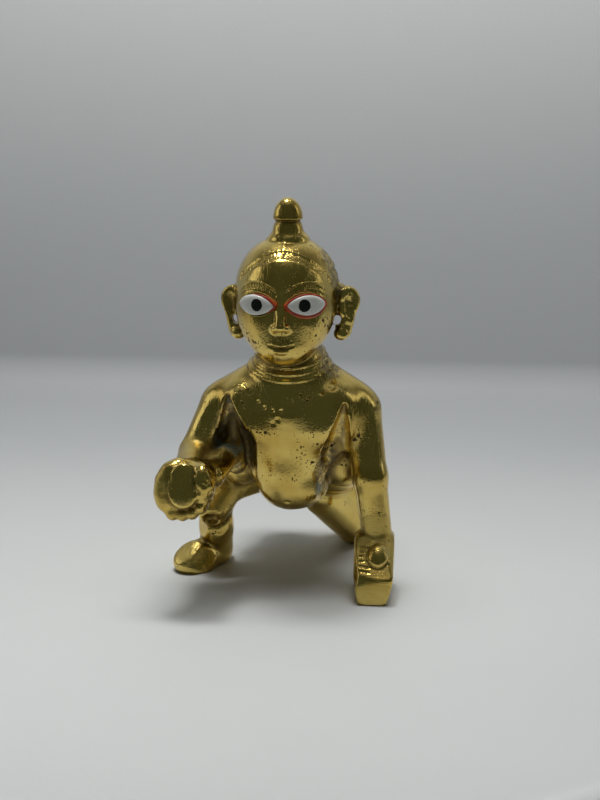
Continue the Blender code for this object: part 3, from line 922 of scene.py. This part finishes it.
skin_points = mesh_points(casting.data)
outward = slope(figure, skin_points)
outward /= np.linalg.norm(outward, axis=1, keepdims=True)
opening = figure(skin_points + CREASE_REACH * outward) / CREASE_REACH
crease = np.maximum(1.0 - opening, within(skin_points, DIRTY_PLACES))
keep(casting.data, "crease", np.clip(crease, 0.0, 1.0))
keep(casting.data, "raw", within(skin_points, RAW_PATCHES))
keep(casting.data, "pitted", within(skin_points, PITTED_PLACES))
keep(casting.data, "filed", within(skin_points, FILED_PLACES))
world = to_world(skin_points)
world[:, 2] = np.maximum(world[:, 2], 0.0)
casting.data.vertices.foreach_set("co", world.ravel())
casting.data.shade_smooth()
print("casting spans", np.round((world.max(axis=0) - world.min(axis=0)) / MM, 1), "mm")

# %% [markdown]
# ## Brass
# Polished brass shows the room more than itself, so most of its look is in how the reflection is broken.
# Four effects do that, each a node group with sockets of its own: fine scratches from the cloth, pits where
# gas came out of the casting, the dull brown that stays in creases that no cloth reaches, and the coarse
# marks of a file.

# %% Helpers for shader groups
def shader_group(name, inputs, outputs):
    group = bpy.data.node_groups.new(name, "ShaderNodeTree")
    for socket, kind, start in inputs:
        made = group.interface.new_socket(socket, in_out="INPUT", socket_type="NodeSocket" + kind)
        if start is not None:
            made.default_value = start
    for socket, kind in outputs:
        group.interface.new_socket(socket, in_out="OUTPUT", socket_type="NodeSocket" + kind)
    return group, group.nodes.new("NodeGroupInput"), group.nodes.new("NodeGroupOutput")


def placed(tree, group, **inputs):
    node = add_node(tree, "ShaderNodeGroup")
    node.node_tree = group
    for name, value in inputs.items():
        socket = node.inputs[name.replace("_", " ")]
        if isinstance(value, bpy.types.NodeSocket):
            tree.links.new(value, socket)
        else:
            socket.default_value = value
    return node


def ranged(tree, value, low, high, to_low=0.0, to_high=1.0):
    node = add_node(tree, "ShaderNodeMapRange", Value=value)
    node.interpolation_type = "SMOOTHSTEP"
    for name, number in (("From Min", low), ("From Max", high), ("To Min", to_low), ("To Max", to_high)):
        node.inputs[name].default_value = number
    return node.outputs["Result"]


def maths(tree, operation, *values):
    node = tree.nodes.new("ShaderNodeMath")
    node.operation = operation
    for socket, value in zip(node.inputs, values):
        if isinstance(value, bpy.types.NodeSocket):
            tree.links.new(value, socket)
        else:
            socket.default_value = value
    return node.outputs[0]


def mixed(tree, share, first, second):
    node = tree.nodes.new("ShaderNodeMix")
    node.data_type = "RGBA"
    for socket, value in ((node.inputs[0], share), (node.inputs[6], first), (node.inputs[7], second)):
        if isinstance(value, bpy.types.NodeSocket):
            tree.links.new(value, socket)
        else:
            socket.default_value = value
    return node.outputs[2]


# %% Group: fine scratches
def stretched_noise(tree, where, turn, stretch, scale):
    """Noise drawn out along one direction, in strokes."""
    mapping = add_node(tree, "ShaderNodeMapping", Vector=where)
    mapping.inputs["Rotation"].default_value = [math.radians(angle) for angle in turn]
    mapping.inputs["Scale"].default_value = stretch
    noise = add_node(tree, "ShaderNodeTexNoise", Vector=mapping.outputs["Vector"], Detail=3.0, Roughness=0.6)
    noise.inputs["Scale"].default_value = scale
    return noise.outputs["Fac"]


def scratches_group():
    group, given, result = shader_group(
        "fine scratches",
        [("Vector", "Vector", None), ("Sparseness", "Float", 0.62)],
        [("Height", "Float"), ("Mask", "Float")],
    )
    where = given.outputs["Vector"]
    first = stretched_noise(group, where, (20, 35, 25), (1.0, 0.05, 0.05), 5200.0)
    second = stretched_noise(group, where, (-40, 10, 70), (1.0, 0.06, 0.06), 4300.0)
    top = maths(group, "MAXIMUM", first, second)
    mask = add_node(group, "ShaderNodeMapRange", Value=top)
    group.links.new(given.outputs["Sparseness"], mask.inputs["From Min"])
    mask.inputs["From Max"].default_value = 0.8
    group.links.new(maths(group, "MULTIPLY", mask.outputs["Result"], -1.0), result.inputs["Height"])
    group.links.new(mask.outputs["Result"], result.inputs["Mask"])
    return group


# %% Group: casting pits
def pits_group():
    group, given, result = shader_group(
        "casting pits",
        [("Vector", "Vector", None), ("Scale", "Float", 900.0), ("Patchiness", "Float", 0.5)],
        [("Mask", "Float")],
    )
    where = given.outputs["Vector"]
    cells = add_node(group, "ShaderNodeTexVoronoi", Vector=where, Scale=given.outputs["Scale"])
    size = add_node(group, "ShaderNodeTexNoise", Vector=where, Scale=260.0, Detail=3.0)
    radius = add_node(group, "ShaderNodeMapRange", Value=size.outputs["Fac"])
    group.links.new(given.outputs["Patchiness"], radius.inputs["From Min"])
    radius.inputs["From Max"].default_value = 0.75
    radius.inputs["To Max"].default_value = 0.42
    inside = maths(group, "SUBTRACT", radius.outputs["Result"], cells.outputs["Distance"])
    group.links.new(ranged(group, inside, 0.0, 0.12), result.inputs["Mask"])
    return group


# %% Group: dull creases
def tarnish_group():
    group, given, result = shader_group(
        "dull creases",
        [("Vector", "Vector", None), ("Crease", "Float", 0.0), ("Reach", "Float", 0.35)],
        [("Mask", "Float")],
    )
    cloud = add_node(group, "ShaderNodeTexNoise", Vector=given.outputs["Vector"], Scale=190.0, Detail=5.0)
    lowered = maths(group, "SUBTRACT", given.outputs["Crease"], 0.25)
    uneven = maths(group, "MULTIPLY_ADD", cloud.outputs["Fac"], 0.5, lowered)
    shade = add_node(group, "ShaderNodeMapRange", Value=uneven)
    shade.inputs["From Min"].default_value = 0.12
    group.links.new(given.outputs["Reach"], shade.inputs["From Max"])
    group.links.new(shade.outputs["Result"], result.inputs["Mask"])
    return group


# %% Group: file marks
def file_marks_group():
    group, given, result = shader_group("file marks", [("Vector", "Vector", None)], [("Height", "Float")])
    where = given.outputs["Vector"]
    level = stretched_noise(group, where, (0, 0, 0), (0.06, 1.0, 1.0), 3600.0)
    rising = stretched_noise(group, where, (0, 42, 0), (0.06, 1.0, 1.0), 3000.0)
    falling = stretched_noise(group, where, (0, -35, 0), (0.06, 1.0, 1.0), 3000.0)
    choice = add_node(group, "ShaderNodeTexNoise", Vector=where, Scale=110.0, Detail=1.0)
    slanting = mixed(group, ranged(group, choice.outputs["Fac"], 0.5, 0.54), rising, falling)
    height = mixed(group, ranged(group, choice.outputs["Fac"], 0.40, 0.46), level, slanting)
    group.links.new(height, result.inputs["Height"])
    return group


SCRATCHES, PITS, TARNISH, FILE_MARKS = scratches_group(), pits_group(), tarnish_group(), file_marks_group()
print("shader groups:", [group.name for group in (SCRATCHES, PITS, TARNISH, FILE_MARKS)])

# %% [markdown]
# The brass itself: a yellow metal whose colour shifts a little to olive or copper from place to place. Raw
# skin is greyer, pinker and much rougher. Green verdigris sits in a few deep spots.

# %% The brass material
BRIGHT_BRASS = (0.70, 0.53, 0.155, 1.0)
DEEP_BRASS = (0.55, 0.38, 0.09, 1.0)
DULL_BRASS = (0.17, 0.11, 0.035, 1.0)
PIT_BROWN = (0.05, 0.032, 0.018, 1.0)
RAW_METAL = (0.27, 0.23, 0.15, 1.0)
VERDIGRIS = (0.16, 0.24, 0.21, 1.0)


def attribute(tree, name):
    node = tree.nodes.new("ShaderNodeAttribute")
    node.attribute_name = name
    return node.outputs["Fac"]


def new_material(name):
    material = bpy.data.materials.new(name)
    material.use_nodes = True
    return material, material.node_tree, material.node_tree.nodes["Principled BSDF"]


def brass_material():
    material, tree, shader = new_material("cast_brass")
    where = tree.nodes.new("ShaderNodeTexCoord").outputs["Object"]
    crease, raw = attribute(tree, "crease"), attribute(tree, "raw")
    pitted, filed = attribute(tree, "pitted"), attribute(tree, "filed")
    cloud = add_node(tree, "ShaderNodeTexNoise", Vector=where, Scale=120.0, Detail=4.0)
    colour = mixed(tree, ranged(tree, cloud.outputs["Fac"], 0.35, 0.7), BRIGHT_BRASS, DEEP_BRASS)
    dull = placed(tree, TARNISH, Vector=where, Crease=crease, Reach=0.55).outputs["Mask"]
    colour = mixed(tree, maths(tree, "MULTIPLY", dull, 0.75), colour, DULL_BRASS)
    grain = add_node(tree, "ShaderNodeTexNoise", Vector=where, Scale=1500.0, Detail=4.0)
    raw_patch = maths(tree, "MULTIPLY", raw, ranged(tree, grain.outputs["Fac"], 0.32, 0.6))
    colour = mixed(tree, maths(tree, "MULTIPLY", raw_patch, 0.8), colour, RAW_METAL)
    sparse = maths(tree, "MULTIPLY_ADD", pitted, -0.14, 0.47)
    small = placed(tree, PITS, Vector=where, Scale=1500.0, Patchiness=sparse).outputs["Mask"]
    sparser = maths(tree, "ADD", sparse, 0.1)
    large = placed(tree, PITS, Vector=where, Scale=640.0, Patchiness=sparser).outputs["Mask"]
    pits = maths(tree, "MAXIMUM", small, large)
    colour = mixed(tree, maths(tree, "MULTIPLY", pits, 0.9), colour, PIT_BROWN)
    green = maths(tree, "MULTIPLY", raw, ranged(tree, cloud.outputs["Fac"], 0.56, 0.62))
    colour = mixed(tree, maths(tree, "MULTIPLY", green, 0.7), colour, VERDIGRIS)
    tree.links.new(colour, shader.inputs["Base Color"])
    fine = placed(tree, SCRATCHES, Vector=where, Sparseness=0.6)
    marks = placed(tree, FILE_MARKS, Vector=where).outputs["Height"]
    rough = maths(tree, "MULTIPLY_ADD", cloud.outputs["Fac"], 0.12, 0.06)
    rough = maths(tree, "MULTIPLY_ADD", fine.outputs["Mask"], 0.22, rough)
    rough = maths(tree, "MULTIPLY_ADD", filed, 0.2, rough)
    rough = maths(tree, "MULTIPLY_ADD", dull, 0.25, rough)
    rough = maths(tree, "MULTIPLY_ADD", raw_patch, 0.3, rough)
    rough = maths(tree, "MULTIPLY_ADD", pits, 0.4, rough)
    tree.links.new(maths(tree, "MINIMUM", rough, 0.85), shader.inputs["Roughness"])
    metal = maths(tree, "SUBTRACT", 1.0, maths(tree, "MULTIPLY", green, 0.8))
    tree.links.new(metal, shader.inputs["Metallic"])
    height = maths(tree, "MULTIPLY", fine.outputs["Height"], 0.22)
    height = maths(tree, "MULTIPLY_ADD", pits, -1.0, height)
    height = maths(tree, "MULTIPLY_ADD", maths(tree, "MULTIPLY", raw, grain.outputs["Fac"]), 1.6, height)
    filing = maths(tree, "MULTIPLY_ADD", filed, 0.9, 0.2)
    height = maths(tree, "ADD", height, maths(tree, "MULTIPLY", marks, filing))
    ripple = add_node(tree, "ShaderNodeTexNoise", Vector=where, Scale=420.0, Detail=2.0)
    height = maths(tree, "MULTIPLY_ADD", ripple.outputs["Fac"], 0.6, height)
    sand = add_node(tree, "ShaderNodeTexNoise", Vector=where, Scale=2200.0, Detail=2.0)
    height = maths(tree, "MULTIPLY_ADD", sand.outputs["Fac"], 0.3, height)
    bump = add_node(tree, "ShaderNodeBump", Height=height, Strength=1.0, Distance=0.0001)
    tree.links.new(bump.outputs["Normal"], shader.inputs["Normal"])
    return material


casting.data.materials.clear()
casting.data.materials.append(brass_material())

# %% [markdown]
# ## The eye plates
# Each eye is a plate of white enamel, almond shaped, domed in front and bent back with the face. The pupil
# is a disc of black enamel in it. The plate's own flat coordinates are kept in a UV map, in millimetres
# from the pupil, so the pupil stays a true circle. It sits a little nearer the nose than the plate's
# middle.

# %% An almond plate
ALMOND_STEPS = 32
ALMOND_ROWS = 10


def almond_outline(length, height):
    outline = []
    for i in range(2 * ALMOND_STEPS):
        lift = math.sin(math.pi * (i % ALMOND_STEPS) / ALMOND_STEPS) ** LENS_POINT
        lift = lift if i < ALMOND_STEPS else -lift
        outline.append((0.5 * length * math.cos(math.pi * i / ALMOND_STEPS), 0.5 * height * lift))
    return outline


def bent(x, y, z):
    return x, y + x * x / (2.0 * EYE_BEND_RADIUS), z


def almond_plate(name, side):
    place = eye_place(side)
    outline = almond_outline(EYE_LENGTH, EYE_HEIGHT)
    flat = [(0.0, EYE_THICKNESS - EYE_STAND_OUT, 0.0)]
    flat += [(x, EYE_THICKNESS - EYE_STAND_OUT, z) for x, z in outline]
    for row in range(ALMOND_ROWS):
        size = 1.0 - (row / ALMOND_ROWS) ** 1.5
        front = -EYE_STAND_OUT - EYE_DOME * math.sqrt(1.0 - size**3)
        flat += [(x * size, front, z * size) for x, z in outline]
    flat.append((0.0, -EYE_STAND_OUT - EYE_DOME, 0.0))
    count, rows = len(outline), ALMOND_ROWS
    faces = []
    for i in range(count):
        after = (i + 1) % count
        faces.append((0, 1 + after, 1 + i))
        for row in range(rows):
            low = 1 + row * count
            faces.append((low + i, low + after, low + count + after, low + count + i))
        faces.append((1 + rows * count + i, 1 + rows * count + after, len(flat) - 1))
    mesh = bpy.data.meshes.new(name)
    mesh.from_pydata([to_world(np.array(place @ Vector(bent(*p)))) for p in flat], [], faces)
    layer = mesh.uv_layers.new(name="plate")
    for loop in mesh.loops:
        x, _, z = flat[loop.vertex_index]
        layer.data[loop.index].uv = (x + side * PUPIL_INWARD, z - 0.1)
    mesh.shade_smooth()
    made = bpy.data.objects.new(name, mesh)
    bpy.context.scene.collection.objects.link(made)
    return made


# %% White enamel with a black pupil
PUPIL_RADIUS = 1.3
PUPIL_INWARD = 1.0
ENAMEL_WHITE = (0.80, 0.80, 0.74, 1.0)
ENAMEL_SHADE = (0.62, 0.60, 0.50, 1.0)
PUPIL_BLACK = (0.006, 0.006, 0.007, 1.0)


def enamel_material():
    material, tree, shader = new_material("eye_enamel")
    plate = tree.nodes.new("ShaderNodeUVMap")
    plate.uv_map = "plate"
    away = add_node(tree, "ShaderNodeVectorMath", i0=plate.outputs["UV"])
    away.operation = "LENGTH"
    where = tree.nodes.new("ShaderNodeTexCoord").outputs["Object"]
    wobble = add_node(tree, "ShaderNodeTexNoise", Vector=where, Scale=900.0, Detail=2.0)
    edge = maths(tree, "MULTIPLY_ADD", wobble.outputs["Fac"], 0.16, away.outputs["Value"])
    pupil = ranged(tree, edge, PUPIL_RADIUS + 0.03, PUPIL_RADIUS + 0.12, 1.0, 0.0)
    cloud = add_node(tree, "ShaderNodeTexNoise", Vector=where, Scale=300.0, Detail=3.0)
    white = mixed(tree, ranged(tree, cloud.outputs["Fac"], 0.45, 0.85, 0.0, 0.6), ENAMEL_WHITE, ENAMEL_SHADE)
    tree.links.new(mixed(tree, pupil, white, PUPIL_BLACK), shader.inputs["Base Color"])
    rough = maths(tree, "MULTIPLY_ADD", cloud.outputs["Fac"], 0.2, 0.12)
    tree.links.new(rough, shader.inputs["Roughness"])
    shader.inputs["Coat Weight"].default_value = 0.3
    step = maths(tree, "MULTIPLY_ADD", pupil, 0.5, maths(tree, "MULTIPLY", wobble.outputs["Fac"], 0.2))
    bump = add_node(tree, "ShaderNodeBump", Height=step, Strength=0.6, Distance=0.00005)
    tree.links.new(bump.outputs["Normal"], shader.inputs["Normal"])
    return material


eyes = {}
enamel = enamel_material()
for side, name in ((-1, "right"), (1, "left")):
    eyes[name] = almond_plate("eye_plate_" + name, side)
    eyes[name].data.materials.append(enamel)

# %% [markdown]
# ## The lac line
# The plates are set in red lac, which squeezed up round their edges. It is a bead swept along the plate's
# outline by Geometry Nodes: the outline becomes a curve, its radius comes from an attribute, and a small
# round profile follows it. Round the left eye the bead is whole and thick below. Round the right one it
# only shows at the nose end and above.

# %% The lac bead's tree
def lac_tree(material):
    tree = bpy.data.node_groups.new("lac_bead", "GeometryNodeTree")
    tree.interface.new_socket("Geometry", in_out="INPUT", socket_type="NodeSocketGeometry")
    tree.interface.new_socket("Thickness", in_out="INPUT", socket_type="NodeSocketFloat")
    tree.interface.new_socket("Geometry", in_out="OUTPUT", socket_type="NodeSocketGeometry")
    given = tree.nodes.new("NodeGroupInput")
    curve = add_node(tree, "GeometryNodeMeshToCurve", Mesh=given.outputs["Geometry"])
    share = tree.nodes.new("GeometryNodeInputNamedAttribute")
    share.data_type = "FLOAT"
    share.inputs["Name"].default_value = "swell"
    radius = maths(tree, "MULTIPLY", share.outputs["Attribute"], given.outputs["Thickness"])
    sized = add_node(tree, "GeometryNodeSetCurveRadius", Curve=curve.outputs["Curve"], Radius=radius)
    profile = add_node(tree, "GeometryNodeCurvePrimitiveCircle", Resolution=10, Radius=1.0)
    swept = add_node(tree, "GeometryNodeCurveToMesh", Curve=sized.outputs["Curve"])
    tree.links.new(profile.outputs["Curve"], swept.inputs["Profile Curve"])
    swept.inputs["Fill Caps"].default_value = True
    if "Scale" in swept.inputs:
        tree.links.new(radius, swept.inputs["Scale"])
    made = add_node(tree, "GeometryNodeRealizeInstances", Geometry=swept.outputs["Mesh"])
    painted = add_node(tree, "GeometryNodeSetMaterial", Geometry=made.outputs["Geometry"])
    painted.inputs["Material"].default_value = material
    result = tree.nodes.new("NodeGroupOutput")
    tree.links.new(painted.outputs["Geometry"], result.inputs["Geometry"])
    return tree


# %% Red lac
LAC_RED = (0.56, 0.07, 0.02, 1.0)
LAC_DARK = (0.30, 0.03, 0.012, 1.0)


def lac_material():
    material, tree, shader = new_material("red_lac")
    where = tree.nodes.new("ShaderNodeTexCoord").outputs["Object"]
    cloud = add_node(tree, "ShaderNodeTexNoise", Vector=where, Scale=700.0, Detail=3.0)
    shade = ranged(tree, cloud.outputs["Fac"], 0.4, 0.7)
    tree.links.new(mixed(tree, shade, LAC_RED, LAC_DARK), shader.inputs["Base Color"])
    tree.links.new(maths(tree, "MULTIPLY_ADD", shade, 0.25, 0.3), shader.inputs["Roughness"])
    bump = add_node(tree, "ShaderNodeBump", Height=cloud.outputs["Fac"], Strength=0.5, Distance=0.0001)
    tree.links.new(bump.outputs["Normal"], shader.inputs["Normal"])
    return material


LAC = lac_tree(lac_material())
LAC_THICKNESS = 0.34


def lac_line(name, place, swell, closed):
    """A bead along the plate's edge; swell gives its thickness for each share of the way round."""
    outline = almond_outline(EYE_LENGTH + SEAT_GAP, EYE_HEIGHT + SEAT_GAP)
    sizes = [swell(i / len(outline)) for i in range(len(outline))]
    kept = [i for i, size in enumerate(sizes) if size > 0.0]
    start = next((i for i in kept if (i - 1) % len(outline) not in kept), kept[0])
    order = [(start + step) % len(outline) for step in range(len(kept))]
    spots = [place @ Vector(bent(outline[i][0], -EYE_STAND_OUT + 0.25, outline[i][1])) for i in order]
    mesh = bpy.data.meshes.new(name)
    edges = [(i, i + 1) for i in range(len(order) - 1)] + ([(len(order) - 1, 0)] if closed else [])
    mesh.from_pydata([to_world(np.array(spot)) for spot in spots], edges, [])
    keep(mesh, "swell", [sizes[i] for i in order])
    made = bpy.data.objects.new(name, mesh)
    bpy.context.scene.collection.objects.link(made)
    bead = made.modifiers.new("lac_bead", "NODES")
    bead.node_group = LAC
    modifier_input(bead, "Thickness", LAC_THICKNESS * MM)
    bpy.context.view_layer.update()
    evaluated = made.evaluated_get(bpy.context.evaluated_depsgraph_get())
    made.data = bpy.data.meshes.new_from_object(evaluated)
    made.modifiers.clear()
    made.data.shade_smooth()
    return made


LAC_STARTS = -0.15
LAC_SHARE = 0.42


def swell_all_round(share):
    """Thicker below the eye than above it."""
    return 1.0 + 0.5 * math.sin(2.0 * math.pi * (share - 0.5))


def swell_at_the_nose(share):
    """Only round the nose end and above, thinning out to nothing at both ends."""
    along = (share if share < 0.6 else share - 1.0) - LAC_STARTS
    return math.sin(math.pi * min(max(along, 0.0), LAC_SHARE) / LAC_SHARE)


lac = [
    lac_line("lac_left", eye_place(1), swell_all_round, True),
    lac_line("lac_right", eye_place(-1), swell_at_the_nose, False),
]
print("lac beads:", [len(bead.data.polygons) for bead in lac])

# %% [markdown]
# ## The table, the light and the camera
# The idol was photographed on a pale sheet that turns up behind it. The brass shows what stands round it,
# so the set matters as much as the metal: a pale floor, soft lights above, and the dark of the room in
# front. That dark is a bent card which the camera never sees. It shows in the brass, and keeps the lights
# behind it out of it.

# %% The sheet, with painted light and shade
FLOOR_HALF = 0.9
SWEEP_STEPS = 16
WALL_AT = 0.180
WALL_TOP = 1.0
SWEEP_RADIUS = 0.012
# The sheet's colours carry painted light and shade. They are pale and lit near the camera and high on the
# wall, and painted darker far back on the floor, low on the wall by the fold, and above the wall's top.
SHEET_PALE_LIT = (0.745, 0.765, 0.75, 1.0)
SHEET_PAINTED_SHADE_LOW = (0.52, 0.535, 0.545, 1.0)
SHEET_PAINTED_SHADE_FAR = (0.36, 0.37, 0.375, 1.0)
SHEET_PAINTED_SHADE_TOP = (0.22, 0.23, 0.22, 1.0)


def sheet_material():
    material, tree, shader = new_material("sheet")
    where = tree.nodes.new("ShaderNodeTexCoord").outputs["Object"]
    apart = add_node(tree, "ShaderNodeSeparateXYZ", Vector=where)
    # Painted light and shade by place: the floor is painted lighter near the camera and darker towards the
    # back, and the wall darker low by the fold and lighter higher up. The noise is the sheet's own uneven
    # tone.
    near = ranged(tree, apart.outputs["Y"], -0.14, 0.16, 1.0, 0.0)
    high = ranged(tree, apart.outputs["Z"], 0.03, 0.17)
    # Painted shade above 0.16 m, so that the brass mirrors a dimmer high wall.
    above = ranged(tree, apart.outputs["Z"], 0.16, 0.32, 0.0, 0.75)
    cloud = add_node(tree, "ShaderNodeTexNoise", Vector=where, Scale=14.0, Detail=5.0)
    pale = maths(tree, "MULTIPLY_ADD", cloud.outputs["Fac"], 0.12, maths(tree, "MAXIMUM", near, high))
    wall = mixed(tree, pale, SHEET_PAINTED_SHADE_LOW, SHEET_PALE_LIT)
    floor = mixed(tree, pale, SHEET_PAINTED_SHADE_FAR, SHEET_PALE_LIT)
    grey = mixed(tree, ranged(tree, apart.outputs["Z"], 0.0, 0.012), floor, wall)
    tree.links.new(mixed(tree, above, grey, SHEET_PAINTED_SHADE_TOP), shader.inputs["Base Color"])
    shader.inputs["Roughness"].default_value = 0.6
    weave = add_node(tree, "ShaderNodeTexNoise", Vector=where, Scale=900.0, Detail=2.0)
    bump = add_node(tree, "ShaderNodeBump", Height=weave.outputs["Fac"], Strength=0.15, Distance=0.0002)
    tree.links.new(bump.outputs["Normal"], shader.inputs["Normal"])
    return material


def sheet():
    profile = [(-FLOOR_HALF, 0.0), (WALL_AT - SWEEP_RADIUS, 0.0)]
    for step in range(1, SWEEP_STEPS + 1):
        angle = math.radians(90.0 * step / SWEEP_STEPS)
        across = WALL_AT - SWEEP_RADIUS + SWEEP_RADIUS * math.sin(angle)
        profile.append((across, SWEEP_RADIUS - SWEEP_RADIUS * math.cos(angle)))
    profile.append((WALL_AT, WALL_TOP))
    points = [(x, y, z) for x in (-FLOOR_HALF, FLOOR_HALF) for y, z in profile]
    count = len(profile)
    mesh = bpy.data.meshes.new("sheet")
    mesh.from_pydata(points, [], [(i, i + count, i + count + 1, i + 1) for i in range(count - 1)])
    mesh.materials.append(sheet_material())
    mesh.shade_smooth()
    made = bpy.data.objects.new("sheet", mesh)
    bpy.context.scene.collection.objects.link(made)


sheet()

# %% The dark of the room
CARD_RADIUS = 0.106
CARD_FROM = -76.0
CARD_TO = 92.0
CARD_MIDDLE = -0.014
CARD_FOOT = 0.014
CARD_TOP = 0.33
CARD_STEPS = 24
CARD_BLACK = (0.03, 0.035, 0.03, 1.0)
CARD_GLOW = (0.035, 0.042, 0.028, 1.0)


def dark_card():
    """A card bent round the figure's front, with the faint glow of an unlit room."""
    turns = [CARD_FROM + (CARD_TO - CARD_FROM) * i / CARD_STEPS for i in range(CARD_STEPS + 1)]
    angles = [math.radians(turn) for turn in turns]
    round_it = [(CARD_RADIUS * math.sin(a), CARD_MIDDLE - CARD_RADIUS * math.cos(a)) for a in angles]
    corners = [(x, y, z) for z in (CARD_FOOT, CARD_TOP) for x, y in round_it]
    above = CARD_STEPS + 1
    mesh = bpy.data.meshes.new("dark_card")
    mesh.from_pydata(corners, [], [(i, i + 1, i + 1 + above, i + above) for i in range(CARD_STEPS)])
    material, _, shader = new_material("room_dark")
    shader.inputs["Base Color"].default_value = CARD_BLACK
    shader.inputs["Roughness"].default_value = 1.0
    shader.inputs["Emission Color"].default_value = CARD_GLOW
    shader.inputs["Emission Strength"].default_value = 1.0
    mesh.materials.append(material)
    made = bpy.data.objects.new("dark_card", mesh)
    bpy.context.scene.collection.objects.link(made)
    made.visible_camera = False
    made.visible_diffuse = False


dark_card()

# %% Soft lights
def soft_light(name, place, aim, width, depth, power, for_brass=True, for_sheet=True):
    """A soft rectangle of light. One that is not for the sheet lights nothing dull, only what mirrors it."""
    light = bpy.data.lights.new(name, "AREA")
    light.shape = "RECTANGLE"
    light.size, light.size_y, light.energy = width, depth, power
    made = bpy.data.objects.new(name, light)
    made.location = place
    made.rotation_euler = (Vector(aim) - Vector(place)).to_track_quat("-Z", "Y").to_euler()
    made.visible_glossy, made.visible_diffuse = for_brass, for_sheet
    bpy.context.scene.collection.objects.link(made)


soft_light("ceiling", (0.0, -0.25, 0.9), (0.0, -0.25, 0.0), 1.5, 1.3, 1.9, for_sheet=False)
soft_light("lamp", (-0.08, 0.08, 0.7), (0.0, 0.02, 0.0), 0.12, 0.12, 1.3)
soft_light("window_left", (-0.7, 0.1, 0.35), (0.0, 0.0, 0.05), 0.6, 0.5, 0.8, for_sheet=False)
soft_light("window_right", (0.68, 0.18, 0.35), (0.0, 0.0, 0.05), 0.6, 0.5, 0.8, for_sheet=False)
soft_light("overhead", (0.03, -0.02, 0.7), (0.0, -0.04, 0.0), 0.3, 0.3, 1.35, for_brass=False)
soft_light("wall_wash", (0.0, 0.02, 0.38), (0.0, 0.18, 0.12), 0.35, 0.08, 0.55, for_brass=False)
SKY_COLOUR = (0.93, 0.96, 1.0, 1.0)
SKY_STRENGTH = 0.06
world = bpy.data.worlds.new("studio")
world.use_nodes = True
world.node_tree.nodes["Background"].inputs["Color"].default_value = SKY_COLOUR
world.node_tree.nodes["Background"].inputs["Strength"].default_value = SKY_STRENGTH
bpy.context.scene.world = world
print("soft lights:", len(bpy.data.lights))

# %% [markdown]
# The camera looks down by thirteen degrees and from a little to the idol's left, from 300 mm away. Its lens
# is set from the photograph's own frame, 800 pixels high.

# %% The camera
CAMERA_ELEVATION = math.radians(13.0)
CAMERA_AZIMUTH = math.radians(5.0)
CAMERA_DISTANCE = 0.3
LENS_PIXELS = 1410.0
PHOTO_HEIGHT = 800.0
SENSOR_HEIGHT = 24.0
LOOK_AT = Vector((0.00475, -0.0183, 0.0425))

toward = Vector((
    -math.sin(CAMERA_AZIMUTH) * math.cos(CAMERA_ELEVATION),
    math.cos(CAMERA_AZIMUTH) * math.cos(CAMERA_ELEVATION),
    -math.sin(CAMERA_ELEVATION),
))
camera_data = bpy.data.cameras.new("camera")
camera_data.sensor_fit = "VERTICAL"
camera_data.sensor_height = SENSOR_HEIGHT
camera_data.lens = SENSOR_HEIGHT * LENS_PIXELS / PHOTO_HEIGHT
camera_data.clip_start = 0.01
camera = bpy.data.objects.new("camera", camera_data)
camera.location = LOOK_AT - CAMERA_DISTANCE * toward
camera.rotation_euler = toward.to_track_quat("-Z", "Y").to_euler()
bpy.context.scene.collection.objects.link(camera)
bpy.context.scene.camera = camera
bpy.context.scene.view_settings.view_transform = "Standard"
print("camera at", [round(value / MM) for value in camera.location], "mm, lens", round(camera_data.lens, 1))

# %% [markdown]
# ## The pieces on the frame
# Each piece rides on the one body of the frame. The imported solids that the casting and the eye plates are
# made over are hidden, and they stay for collision.

# %% Ride, and hide the imported solids
for piece, node, slot in (
    (casting, "idol_figure", "brass"),
    (eyes["right"], "eye_right", "enamel"),
    (eyes["left"], "eye_left", "enamel"),
):
    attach(piece, "root")
    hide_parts(node)
for bead in lac:
    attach(bead, "root")
